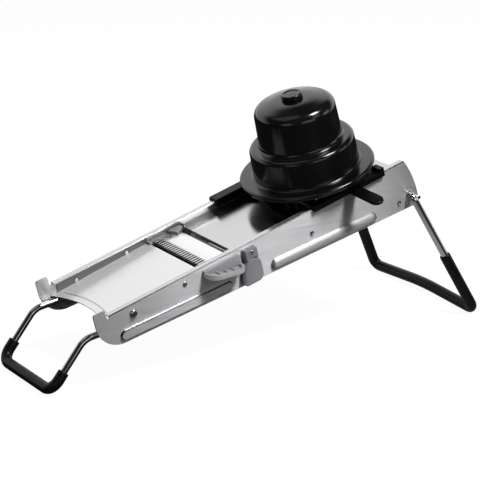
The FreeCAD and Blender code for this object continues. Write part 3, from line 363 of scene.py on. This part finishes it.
def corner_arc(before, corner, after, radius, steps):
    """Places along the arc of this radius that touches both runs at a corner."""
    towards = unit(before - corner)
    away = unit(after - corner)
    half = math.acos(np.clip(towards @ away, -1.0, 1.0)) / 2
    centre = corner + unit(towards + away) * radius / math.sin(half)
    start = corner + towards * radius / math.tan(half) - centre
    angle = np.linspace(0.0, math.pi - 2 * half, steps)[:, None]
    return centre + start * np.cos(angle) - towards * radius * np.sin(angle)


def rounded_line(corners, radii, steps=10):
    """Straight runs joined by arcs at the corners; a radius of 0 keeps a corner as it is."""
    corners = np.asarray(corners, float)
    before = np.roll(corners, 1, axis=0)
    after = np.roll(corners, -1, axis=0)
    runs = [corner_arc(before[i], corners[i], after[i], radius, steps) if radius else corners[i:i + 1]
            for i, radius in enumerate(radii)]
    return np.concatenate(runs)


def headings(path):
    """The way a path runs at each of its places."""
    return unit(np.gradient(path, axis=0))


def tube(path, heading, radii, facing, around=40):
    """Rings of the given radii square to a path: path + r * (across * cos + lift * sin), turn 0 to 2 pi."""
    across = unit(facing - heading * (heading @ facing)[:, None])
    lift = np.cross(heading, across)
    turn = np.linspace(0.0, 2 * np.pi, around, endpoint=False)[:, None]
    ring = across[:, None] * np.cos(turn) + lift[:, None] * np.sin(turn)
    return path[:, None] + np.asarray(radii, float)[:, None, None] * ring


def turned(profile, around=128):
    """A profile of (r, z) turned about the dome's axis: x = r cos t, y = r sin t, z kept."""
    turn = np.linspace(0.0, 2 * np.pi, around, endpoint=False)
    r = profile[:, 0, None]
    z = np.broadcast_to(profile[:, 1, None], (len(profile), around))
    return np.stack((DOME_X + r * np.cos(turn), r * np.sin(turn), z), axis=2)


def outline_normals(outline):
    """Outward normals of a closed flat outline that runs anticlockwise."""
    along = unit(np.roll(outline, -1, axis=0) - np.roll(outline, 1, axis=0))
    return np.stack((along[:, 1], -along[:, 0]), axis=1)


def layered(outline, layers):
    """A flat outline (a, b) carried through layers of (inset, share of its size, height)."""
    layers = np.asarray(layers, float)
    inset, share, height = layers[:, 0, None, None], layers[:, 1, None, None], layers[:, 2]
    centre = outline.mean(axis=0)
    flat = centre + (outline - outline_normals(outline) * inset - centre) * share
    high = np.broadcast_to(height[:, None, None], (*flat.shape[:2], 1))
    return np.concatenate((flat, high), axis=2)


def skin(rows, cols, looped):
    """Faces over a grid that closes across its columns; the rows close too, or end in a face each."""
    here = np.arange(rows * cols).reshape(rows, cols)
    there = np.roll(here, -1, axis=0)
    if not looped:
        here, there = here[:-1], there[:-1]
    quads = np.stack((here, np.roll(here, -1, 1), np.roll(there, -1, 1), there), axis=-1)
    faces = quads.reshape(-1, 4).tolist()
    if not looped:
        faces += [here[0].tolist()[::-1], there[-1].tolist()]
    return faces


def piece(name, grids, node, finish=None, looped=False, crease=32.0, over=False):
    """A piece that stands for a node, or lies over it: one closed skin over each grid of places."""
    places = []
    faces = []
    for grid in grids:
        faces += [[corner + len(places) for corner in face] for face in skin(*grid.shape[:2], looped)]
        places += in_row(grid.reshape(-1, 3)).tolist()
    mesh = bpy.data.meshes.new(name)
    mesh.from_pydata(places, [], faces)
    shell = bmesh.new()
    shell.from_mesh(mesh)
    bmesh.ops.recalc_face_normals(shell, faces=shell.faces)
    shell.to_mesh(mesh)
    shell.free()
    mesh.shade_smooth()
    mesh.set_sharp_from_angle(angle=math.radians(crease))
    mesh.materials.append(finish or finishes[slot_of[node]])
    made = bpy.data.objects.new(name, mesh)
    bpy.context.scene.collection.objects.link(made)
    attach(made, body_of[node])
    if not over:
        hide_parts(node)
    return made


def mirrored(half):
    """Points on the left side, then the same points on the right side in reverse."""
    half = np.asarray(half, float)
    return np.concatenate((half, half[::-1] * (1, -1, 1)))


# Wire legs and their sleeves


FRONT_HALF = ((64.44, 28.0, -24.81), (64.44, 50.0, -24.81), (-12.0, 50.0, -15.5), (-61.0, 50.0, -51.0))
FRONT_BENDS = (0, 8.0, 20.0, 13.0)
FRONT_WIRE = 3.5
FRONT_SLEEVE = 5.8
FRONT_SHARE = 0.62
REAR_HALF = ((399.0, 53.0, -41.0), (399.0, 64.6, -41.0), (436.0, 88.0, -194.5))
REAR_BENDS = (0, 6.5, 8.0)
REAR_WIRE = 4.0
REAR_SLEEVE = 6.0
REAR_SHARE = 0.51
REAR_ARCH = 5.0
REAR_ARCH_BEND = 400.0
SLEEVE_LIP = 1.1
SLEEVE_FIT = 0.02
LIP_STEPS = 6
WIRE_STEPS = 14
FRONT_FACING = unit(np.array((-0.6, 0.0, 0.8)))
REAR_FACING = np.array((1.0, 0.0, 0.0))
floor_up = np.array((rail_axis[2], 0.0, up_axis[2]))


def plain_wire(path, radius, facing):
    """A round wire along a path."""
    return tube(path, headings(path), np.full(len(path), radius), facing)


def sleeve_radii(wire, outer, count):
    """Radii down a sleeve: up a quarter-round lip from the wire, level, and down a lip again."""
    turn = np.linspace(0.0, np.pi / 2, LIP_STEPS)
    rise = outer - SLEEVE_LIP + SLEEVE_LIP * np.sin(turn)
    return np.concatenate(((wire,), rise, np.full(count, outer), rise[::-1], (wire,)))


def sleeve_grid(path, wire, outer, facing):
    """Closed sleeve: out along the path at the outer radius, with rounded lips, and back along the wire."""
    first = unit(path[1] - path[0])
    last = unit(path[-2] - path[-1])
    turn = np.linspace(0.0, np.pi / 2, LIP_STEPS)[:, None]
    step = SLEEVE_LIP * (1 - np.cos(turn))
    start = path[0] + first * step
    end = path[-1] + last * step[::-1]
    inner = path[1:-1]
    line = np.concatenate((path[:1], start, inner, end, path[-1:]))
    along = headings(path)
    lip = LIP_STEPS + 1
    heading = np.concatenate((np.repeat(along[:1], lip, 0), along[1:-1], np.repeat(along[-1:], lip, 0)))
    outside = tube(line, heading, sleeve_radii(wire, outer, len(inner)), facing)
    inside = plain_wire(path, wire, facing)[::-1][1:-1]
    return np.concatenate((outside, inside))


def on_floor(grid):
    """The grid with nothing below the floor: the foot is flat where it stands."""
    sink = np.minimum(in_row(grid)[..., 2], 0.0)[..., None] * 1000
    return grid - sink * floor_up


def foot_points(points, share):
    """The foot of a leg, from a share of the way down one arm to the same place on the other."""
    start = points[0] + (points[1] - points[0]) * share
    end = points[-1] + (points[-2] - points[-1]) * share
    return np.concatenate((start[None], points[1:-1], end[None]))


def front_leg():
    """Wire with inturned ends and two bends a side, and the sleeve round its foot."""
    points = mirrored(FRONT_HALF)
    path = rounded_line(points, FRONT_BENDS + FRONT_BENDS[::-1], WIRE_STEPS)
    piece("front_wire", [plain_wire(path, FRONT_WIRE, FRONT_FACING)], "front_leg_wire", shaded_front_wire_finish)
    foot = foot_points(points[2:6], FRONT_SHARE)
    path = rounded_line(foot, (0, FRONT_BENDS[-1], FRONT_BENDS[-1], 0), WIRE_STEPS)
    grid = sleeve_grid(path, FRONT_WIRE + SLEEVE_FIT, FRONT_SLEEVE, FRONT_FACING)
    piece("front_sleeve", [on_floor(grid)], "front_leg_sleeve", looped=True)


def rear_leg():
    """Wire with splayed arms and a foot that arches up in its middle, and the sleeve round its foot."""
    half = np.asarray(REAR_HALF, float)
    crown = half[-1] * (1, 0, 1) + REAR_ARCH * floor_up
    points = np.concatenate((half, crown[None], half[::-1] * (1, -1, 1)))
    path = rounded_line(points, REAR_BENDS + (REAR_ARCH_BEND,) + REAR_BENDS[::-1], WIRE_STEPS)
    piece("rear_wire", [plain_wire(path, REAR_WIRE, REAR_FACING)], "rear_leg_wire")
    foot = foot_points(points[1:6], REAR_SHARE)
    path = rounded_line(foot, (0, REAR_BENDS[-1], REAR_ARCH_BEND, REAR_BENDS[-1], 0), WIRE_STEPS)
    grid = sleeve_grid(path, REAR_WIRE + SLEEVE_FIT, REAR_SLEEVE, REAR_FACING)
    piece("rear_sleeve", [on_floor(grid)], "rear_leg_sleeve", looped=True)


# Pusher dome, button and spring


SPIGOT = 44.5
SPIGOT_LOW = 0.1
WALL = 3.0
BRIM = 73.4
BRIM_LOW = 11.0
BRIM_TOP = 16.5
MIDDLE_BASE = 58.0
MIDDLE = 56.5
MIDDLE_TOP = 49.0
TOP_BASE = 45.0
TOP = 43.5
SHOULDER = 94.0
CROWN = 98.4
CROWN_SAG = 1.1
EDGE = 91.6
FOOT_FLARE = 2.4
FOOT_RISE = 2.6
SKIRT_ROUNDS = (0.4, 0.4, 1.5, 2.6, 2.6, 3.0, 5.0, 0.3, 0.3, 1.5, 1.5, 0.4)
CROWN_ROUNDS = (0, 0, 0, 0, 6.0, 11.0, 60.0, 0.4, 0, 6.0)
ROD_BORE = 4.05
BUTTON = 11.6
BUTTON_DRAFT = 0.3
BUTTON_LOW = 98.7
BUTTON_TOP = 103.5
BUTTON_RIM = 8.6
DISH = 7.4
DISH_DEPTH = 0.7
DISH_CROWN = 0.2
BUTTON_SKIN = 4.0
BUTTON_MIDDLE = 0.4
BUTTON_ROUNDS = (0.3, 0.5, 1.6, 0.6, 0.8, 0, 0, 0.3)
SPRING = 8.0
SPRING_WIRE = 0.8
SPRING_TURNS = 9
SPRING_LOW = 6.0
SPRING_TOP = 90.7
STEPS_A_TURN = 40


def dome_skirt():
    """Closed profile, turned: spigot, brim with a round lip, middle tier, roof, and inside again."""
    seat = TOP_BASE - WALL / 2
    roof = MIDDLE_TOP - WALL
    corners = [(SPIGOT - WALL, SPIGOT_LOW), (SPIGOT, SPIGOT_LOW), (SPIGOT, BRIM_LOW), (BRIM, BRIM_LOW),
               (BRIM, BRIM_TOP), (MIDDLE_BASE, BRIM_TOP), (MIDDLE, MIDDLE_TOP), (seat, MIDDLE_TOP),
               (seat, roof), (MIDDLE - WALL, roof), (MIDDLE_BASE - WALL, BRIM_LOW + WALL),
               (SPIGOT - WALL, BRIM_LOW + WALL)]
    piece("dome_skirt", [turned(rounded_line(corners, SKIRT_ROUNDS))], "pusher_dome", looped=True)


def dome_crown():
    """Closed profile, turned: plug, flared foot, side, broad shoulder, low crown, and inside again."""
    plug = TOP_BASE - WALL / 2 - SLEEVE_FIT
    inside = TOP_BASE - WALL
    corners = [(inside, MIDDLE_TOP - WALL), (plug, MIDDLE_TOP - WALL), (plug, MIDDLE_TOP),
               (TOP_BASE + FOOT_FLARE, MIDDLE_TOP), (TOP_BASE, MIDDLE_TOP + FOOT_RISE), (TOP, EDGE),
               (TOP / 2, CROWN - CROWN_SAG), (ROD_BORE, CROWN), (ROD_BORE, SHOULDER - WALL),
               (TOP - WALL, EDGE - WALL)]
    piece("dome_crown", [turned(rounded_line(corners, CROWN_ROUNDS, steps=14))], "dome_cap", looped=True)


def button():
    """Closed profile, turned: rod bore, flat foot, side with a small draft, round edge, dished top."""
    dish = BUTTON_TOP - DISH_DEPTH
    rod_end = BUTTON_TOP - BUTTON_SKIN
    corners = [(ROD_BORE, BUTTON_LOW), (BUTTON, BUTTON_LOW), (BUTTON - BUTTON_DRAFT, BUTTON_TOP),
               (BUTTON_RIM, BUTTON_TOP), (DISH, dish), (BUTTON_MIDDLE, dish + DISH_CROWN),
               (BUTTON_MIDDLE, rod_end), (ROD_BORE, rod_end)]
    profile = rounded_line(corners, BUTTON_ROUNDS)
    piece("press_button", [turned(profile, around=72)], "plunger_button", looped=True)


def spring():
    """Coil round the rod: x = r cos t, y = r sin t, z rising evenly with t."""
    turn = np.linspace(0.0, 2 * np.pi * SPRING_TURNS, STEPS_A_TURN * SPRING_TURNS + 1)
    height = np.linspace(SPRING_LOW + SPRING_WIRE, SPRING_TOP - SPRING_WIRE, len(turn))
    path = np.stack((DOME_X + SPRING * np.cos(turn), SPRING * np.sin(turn), height), axis=1)
    upright = np.array((0.0, 0.0, 1.0))
    grid = tube(path, headings(path), np.full(len(path), SPRING_WIRE), upright, around=14)
    made = piece("return_spring", [grid], "plunger_spring")
    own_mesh(made)


# Blade


BLADE_FRONT = 138.7
BLADE_REAR = 172.0
BLADE_TOP = -9.2
BLADE_LOW = -10.4
BLADE_HALF = 50.0
EDGE_BEVEL = 7.0
FLUTES = 21
FLUTE_PITCH = 4.5
FLUTE_WIDTH = 2.9
FLUTE_DEPTH = 0.85
FLUTE_LENGTH = 12.0
FLUTE_END = 2.0
FLUTE_SEEN = 0.08
# Width of the strip along the blade's front edge that takes the painted flute shade
SHADED_FRONT_EDGE = 1.6
REAR_EDGE_HIGH = 0.3
REAR_EDGE_BACK = 0.1


def fluted_blade():
    """Blade section carried across y; each flute sinks the top by a vee in y, run out at its rear end."""
    y = np.linspace(-BLADE_HALF, BLADE_HALF, 481)
    from_flute = np.abs((y + FLUTE_PITCH * 0.5 * (FLUTES % 2)) % FLUTE_PITCH - FLUTE_PITCH / 2)
    fluted = np.abs(y) < FLUTE_PITCH * FLUTES / 2
    vee = np.clip(1 - from_flute / (FLUTE_WIDTH / 2), 0, 1) * fluted
    top_x = np.concatenate((np.linspace(BLADE_FRONT, BLADE_FRONT + FLUTE_LENGTH, 17),
                            (BLADE_REAR - EDGE_BEVEL, BLADE_REAR - REAR_EDGE_BACK)))
    run_out = np.clip((BLADE_FRONT + FLUTE_LENGTH - top_x) / FLUTE_END, 0, 1)
    sink = FLUTE_DEPTH * np.sqrt(run_out) * vee[:, None]
    top_z = np.full(len(top_x), BLADE_TOP)
    top_z[-1] = BLADE_LOW + REAR_EDGE_HIGH
    top = np.stack(np.broadcast_arrays(top_x, y[:, None], top_z - sink), axis=2)
    low_x = np.array((BLADE_REAR, BLADE_FRONT))
    low = np.stack(np.broadcast_arrays(low_x, y[:, None], BLADE_LOW), axis=2)
    made = piece("fluted_blade", [np.concatenate((top, low), axis=1)], "slicing_blade", crease=20.0)
    # Painted shade: faces deep in the flutes and a strip along the front edge take the near-black second material
    made.data.materials.append(flute_shade_finish)
    sunk = (sink[:-1] + sink[1:]) / 2 > FLUTE_SEEN
    shaded_faces = (sunk[:, :-1] & sunk[:, 1:]) | (top_x[1:] < BLADE_FRONT + SHADED_FRONT_EDGE)
    faces_round = len(top_x) + len(low_x)
    shaded_faces = np.pad(shaded_faces, ((0, 0), (0, faces_round - shaded_faces.shape[1])))
    marks = np.concatenate((shaded_faces.reshape(-1), (0, 0)))
    made.data.polygons.foreach_set("material_index", marks.astype(np.int32))


# Lever, wing, rivets and beads


LEVER_OUTLINE = ((178.4, -14.3), (173.0, -33.5), (173.0, -43.0), (197.0, -43.0), (197.6, -14.3))
LEVER_ROUNDS = (8.0, 6.0, 3.4, 7.2, 9.4)
LEVER_INNER = -60.0
LEVER_OUTER = -66.5
LEVER_EDGES = (0.6, 2.8)
LEVER_CROWN = 0.7
WING_ROOT_Y = -61.1
WING_OUTLINE = ((320.3, 1.2), (326.8, -38.0), (342.8, -38.0), (335.3, 1.2))
WING_ROUNDS = (0.4, 7.8, 7.8, 0.4)
WING_THICK = 4.0
WING_LOW = -2.2
WING_SLOPE = math.radians(12.0)
WING_EDGES = (1.6, 1.7)
WING_CROWN = 0.2
RIVETS = ((43.96, -10.36, 4.9, 2.4), (107.93, -8.29, 2.9, 0.9))
PLATE_FACE = 58.0
FLANGE_FACE = 55.5
SHEETS = 2.5
RIVET_MIDDLE = 0.3
RIVET_SHANK = 2.0
RIVET_TAIL = 2.3
RIVET_TAIL_HIGH = 1.3
PLATE_DEPTH = 35.0
PLATE_TAPER = 19.8 / 400.0
BEAD_FRONT = 217.0
BEAD_REAR = 346.0
BEAD_WIDTH = 12.6
BEAD_RISE = 3.6
BEAD_SINK = 0.4
BEAD_ABOVE = 8.0
BEAD_ARC = math.radians(84.0)


def bead_height(x):
    """Height of a bead's middle: a step above the plate's lower edge, which falls towards the rear."""
    return BEAD_ABOVE - (PLATE_DEPTH + PLATE_TAPER * x)


def pillow_edge(low, high, edges, crown):
    """Layers of a slab: quarter-round edges at its low and high faces, with a slight crown on the high one
    that falls off as the square of the share of its size."""
    turn = np.linspace(0.0, np.pi / 2, 7)
    low_edge, high_edge = edges
    rise = math.copysign(1.0, high - low)
    lower = [(low_edge * (1 - math.sin(a)), 1.0, low + rise * low_edge * (1 - math.cos(a))) for a in turn]
    upper = [(high_edge * (1 - math.cos(a)), 1.0, high - rise * (crown + high_edge * (1 - math.sin(a))))
             for a in turn]
    fade = [(high_edge, share, high - rise * crown * share ** 2) for share in (0.8, 0.55, 0.3, 0.1)]
    return lower + upper + fade


def lever():
    """Paddle outline in (x, z) carried outwards in y, with rounded edges and a crowned face."""
    outline = rounded_line(LEVER_OUTLINE, LEVER_ROUNDS, steps=12)
    grid = layered(outline, pillow_edge(LEVER_INNER, LEVER_OUTER, LEVER_EDGES, LEVER_CROWN))
    piece("lever_paddle", [grid[..., (0, 2, 1)]], "thickness_lever")


def wing():
    """Tongue outline in (x, y) carried up, with round edges, then turned down by its slope at the shoe."""
    outline = rounded_line(WING_OUTLINE, WING_ROUNDS, steps=14)
    grid = layered(outline, pillow_edge(0.0, WING_THICK, WING_EDGES, WING_CROWN))
    reach, height = grid[..., 1], grid[..., 2]
    y = WING_ROOT_Y + reach * math.cos(WING_SLOPE) - height * math.sin(WING_SLOPE)
    z = WING_LOW + reach * math.sin(WING_SLOPE) + height * math.cos(WING_SLOPE)
    piece("wing_tongue", [np.stack((grid[..., 0], y, z), axis=2)], "side_wing", shoe_finish)


def rivets():
    """Round-headed rivets: a profile of (radius, distance outwards) turned about y at each place."""
    turn = np.linspace(0.0, 2 * np.pi, 36, endpoint=False)
    grids = []
    for x, z, head, rise in RIVETS:
        top = SHEETS + rise
        corners = [(RIVET_MIDDLE, -RIVET_TAIL_HIGH), (RIVET_TAIL, -RIVET_TAIL_HIGH), (RIVET_TAIL, 0.0),
                   (RIVET_SHANK, 0.0), (RIVET_SHANK, SHEETS), (head, SHEETS),
                   (head - 0.6 * rise, top), (RIVET_MIDDLE, top)]
        profile = rounded_line(corners, (0, 0.6, 0, 0, 0, 0.2, 0.8 * rise, 0), steps=8)
        r, out = profile[:, 0, None], profile[:, 1, None]
        for side in (-1, 1):
            y = np.broadcast_to(side * (FLANGE_FACE + out), (len(profile), len(turn)))
            grids.append(np.stack((x + r * np.cos(turn), y, z + r * np.sin(turn)), axis=2))
    piece("plate_rivets", grids, "exit_plate_rivets")


def beads():
    """Half-round beads over the rear pressed ribs: a straight slot outline in (x, z) is carried outwards
    in y while it draws in, so that inset = half * (1 - cos a) and rise = BEAD_RISE * sin a."""
    half = BEAD_WIDTH / 2
    ends = np.array([(x, bead_height(x)) for x in (BEAD_FRONT, BEAD_REAR)])
    along = unit(ends[1] - ends[0])
    turn = np.linspace(-np.pi / 2, np.pi / 2, 24) + math.atan2(along[1], along[0])
    round_end = np.stack((np.cos(turn), np.sin(turn)), axis=1) * half
    outline = np.concatenate((ends[1] + round_end, ends[0] - round_end))
    foot = PLATE_FACE - BEAD_SINK
    grids = []
    for side in (-1, 1):
        layers = [(half * (1 - math.cos(a)), 1.0, side * (foot + BEAD_RISE * math.sin(a)))
                  for a in np.linspace(0.0, BEAD_ARC, 12)]
        grids.append(layered(outline, layers)[..., (0, 2, 1)])
    piece("rib_beads", grids, "right_side_plate", shaded_bead_finish, over=True)


front_leg()
rear_leg()
dome_skirt()
dome_crown()
button()
spring()
fluted_blade()
lever()
wing()
rivets()
beads()


# Studio: pale floor, soft lamps and the photograph's camera


CAMERA_PLACE = Vector((-1.16832, -1.64397, 0.78644))
CAMERA_TARGET = Vector((-0.00567, -0.00382, 0.10771))
CAMERA_ROLL = math.radians(1.648)
FOCAL_PIXELS = 2010.3
IMAGE_PIXELS = 480
MIDDLE_OF_SLICER = Vector((0.0, 0.0, 0.12))


def studio_camera():
    """The photograph's camera: its place, aim, roll and focal length."""
    data = bpy.data.cameras.new("photo_camera")
    data.sensor_width = 36.0
    data.lens = FOCAL_PIXELS / IMAGE_PIXELS * data.sensor_width
    data.clip_end = 100.0
    camera = bpy.data.objects.new("photo_camera", data)
    bpy.context.scene.collection.objects.link(camera)
    ahead = (CAMERA_TARGET - CAMERA_PLACE).normalized()
    level = ahead.to_track_quat("-Z", "Y").to_matrix().to_4x4()
    roll = Matrix.Rotation(CAMERA_ROLL, 4, "Z")
    camera.matrix_world = Matrix.Translation(CAMERA_PLACE) @ level @ roll
    bpy.context.scene.camera = camera


def soft_lamp(name, place, size, watts):
    """A soft box that faces the middle of the slicer."""
    data = bpy.data.lights.new(name, "AREA")
    data.shape = "RECTANGLE"
    data.size, data.size_y = size
    data.energy = watts
    lamp = bpy.data.objects.new(name, data)
    bpy.context.scene.collection.objects.link(lamp)
    place = Vector(place)
    lamp.rotation_mode = "QUATERNION"
    lamp.rotation_quaternion = (MIDDLE_OF_SLICER - place).to_track_quat("-Z", "Y")
    lamp.location = place


FLOOR_RADIUS = 12.0
FLOOR_BELOW = 0.0006
FLOOR_WHITE = 1.07
FLOOR_SHARE = 0.88
MIRROR_SHARE = 0.97
# Painted pool of light that the floor shows in mirrors: axis, brightness before and after the fade, where it
# starts and ends
FLOOR_FADES = (
    ("Y", 0.04, 0.32, -0.4, -0.15),
    ("X", 0.04, 1.0, -0.08, 0.2),
    ("X", 1.0, 0.03, 0.2, 0.42),
    ("Y", 1.0, 0.03, 0.05, 0.3),
)


def pale_floor():
    """Large flat disc: white to the camera, a painted pool of light in the slicer's mirrors, with a soft shadow.
    """
    turn = np.linspace(0, 2 * np.pi, 96, endpoint=False)
    flat = np.full_like(turn, -FLOOR_BELOW)
    ring = np.stack((FLOOR_RADIUS * np.cos(turn), FLOOR_RADIUS * np.sin(turn), flat), axis=1)
    mesh = bpy.data.meshes.new("floor")
    mesh.from_pydata(ring.tolist(), [], [list(range(len(ring)))])
    floor = bpy.data.objects.new("floor", mesh)
    bpy.context.scene.collection.objects.link(floor)
    pale = Finish("pale_floor").set(color=(0.86, 0.86, 0.86, 1), rough=0.9, spec=0.1)
    split = pale.node("SeparateXYZ")
    pale.link(pale.coords.outputs["Object"], split.inputs[0])
    fades = [pale.spread(split.outputs[axis], *fade, smooth=True) for axis, *fade in FLOOR_FADES]
    near, front, rear, far = fades
    # The painted pool of light: bright in one patch of floor, dark outside it
    painted_pool = pale.math("MULTIPLY", pale.math("MULTIPLY", near, front), pale.math("MULTIPLY", rear, far))
    rays = pale.node("LightPath").outputs
    glow = pale.node("Emission")
    white = pale.math("MULTIPLY", rays["Is Camera Ray"], FLOOR_WHITE)
    pale.link(pale.math("MAXIMUM", white, painted_pool), glow.inputs["Strength"])
    in_mirrors = pale.math("MAXIMUM", rays["Is Glossy Ray"], rays["Is Transmission Ray"])
    seen = pale.math("MULTIPLY", rays["Is Camera Ray"], FLOOR_SHARE)
    seen = pale.math("MAXIMUM", seen, pale.math("MULTIPLY", in_mirrors, MIRROR_SHARE))
    mix = pale.node("MixShader")
    pale.link(seen, mix.inputs["Fac"])
    pale.link(pale.shader.outputs[0], mix.inputs[1])
    pale.link(glow.outputs[0], mix.inputs[2])
    pale.link(mix.outputs[0], pale.tree.nodes["Material Output"].inputs["Surface"])
    mesh.materials.append(pale.material)


BACKDROP = (0.35, 0.9, -0.8)
BACKDROP_FADE = {"From Min": -0.1, "From Max": 0.25, "To Min": 0.04, "To Max": 1.15}


def studio_world():
    """White to the camera; in mirrors, a pale backdrop low down behind and to the right, dark elsewhere."""
    world = bpy.data.worlds.new("studio")
    world.use_nodes = True
    tree = world.node_tree
    coords = tree.nodes.new("ShaderNodeTexCoord")
    dot = tree.nodes.new("ShaderNodeVectorMath")
    dot.operation = "DOT_PRODUCT"
    dot.inputs[1].default_value = BACKDROP
    fade = tree.nodes.new("ShaderNodeMapRange")
    fade.interpolation_type = "SMOOTHSTEP"
    for socket, value in BACKDROP_FADE.items():
        fade.inputs[socket].default_value = value
    tree.links.new(coords.outputs["Generated"], dot.inputs[0])
    tree.links.new(dot.outputs["Value"], fade.inputs["Value"])
    rays = tree.nodes.new("ShaderNodeLightPath")
    shown = tree.nodes.new("ShaderNodeMath")
    shown.operation = "MAXIMUM"
    tree.links.new(rays.outputs["Is Camera Ray"], shown.inputs[0])
    tree.links.new(fade.outputs["Result"], shown.inputs[1])
    tree.links.new(shown.outputs[0], tree.nodes["Background"].inputs["Strength"])
    tree.nodes["Background"].inputs["Color"].default_value = (1, 1, 1, 1)
    bpy.context.scene.world = world


studio_camera()
pale_floor()
studio_world()
soft_lamp("key", (0.36, -0.75, 1.75), (0.45, 0.5), 27)
soft_lamp("near_card", (0.56, -1.47, 1.17), (0.6, 0.6), 1.4)
soft_lamp("low_fill", (2.0, -1.3, 0.9), (0.9, 0.9), 4)
soft_lamp("side_card", (-0.05, -2.3, 0.55), (1.5, 0.8), 5)
soft_lamp("top_card", (-0.9, 0.4, 2.2), (1.8, 1.4), 4)
soft_lamp("front_card", (-2.3, -1.2, 0.5), (1.2, 0.8), 3)

bpy.context.scene.view_settings.view_transform = "Standard"
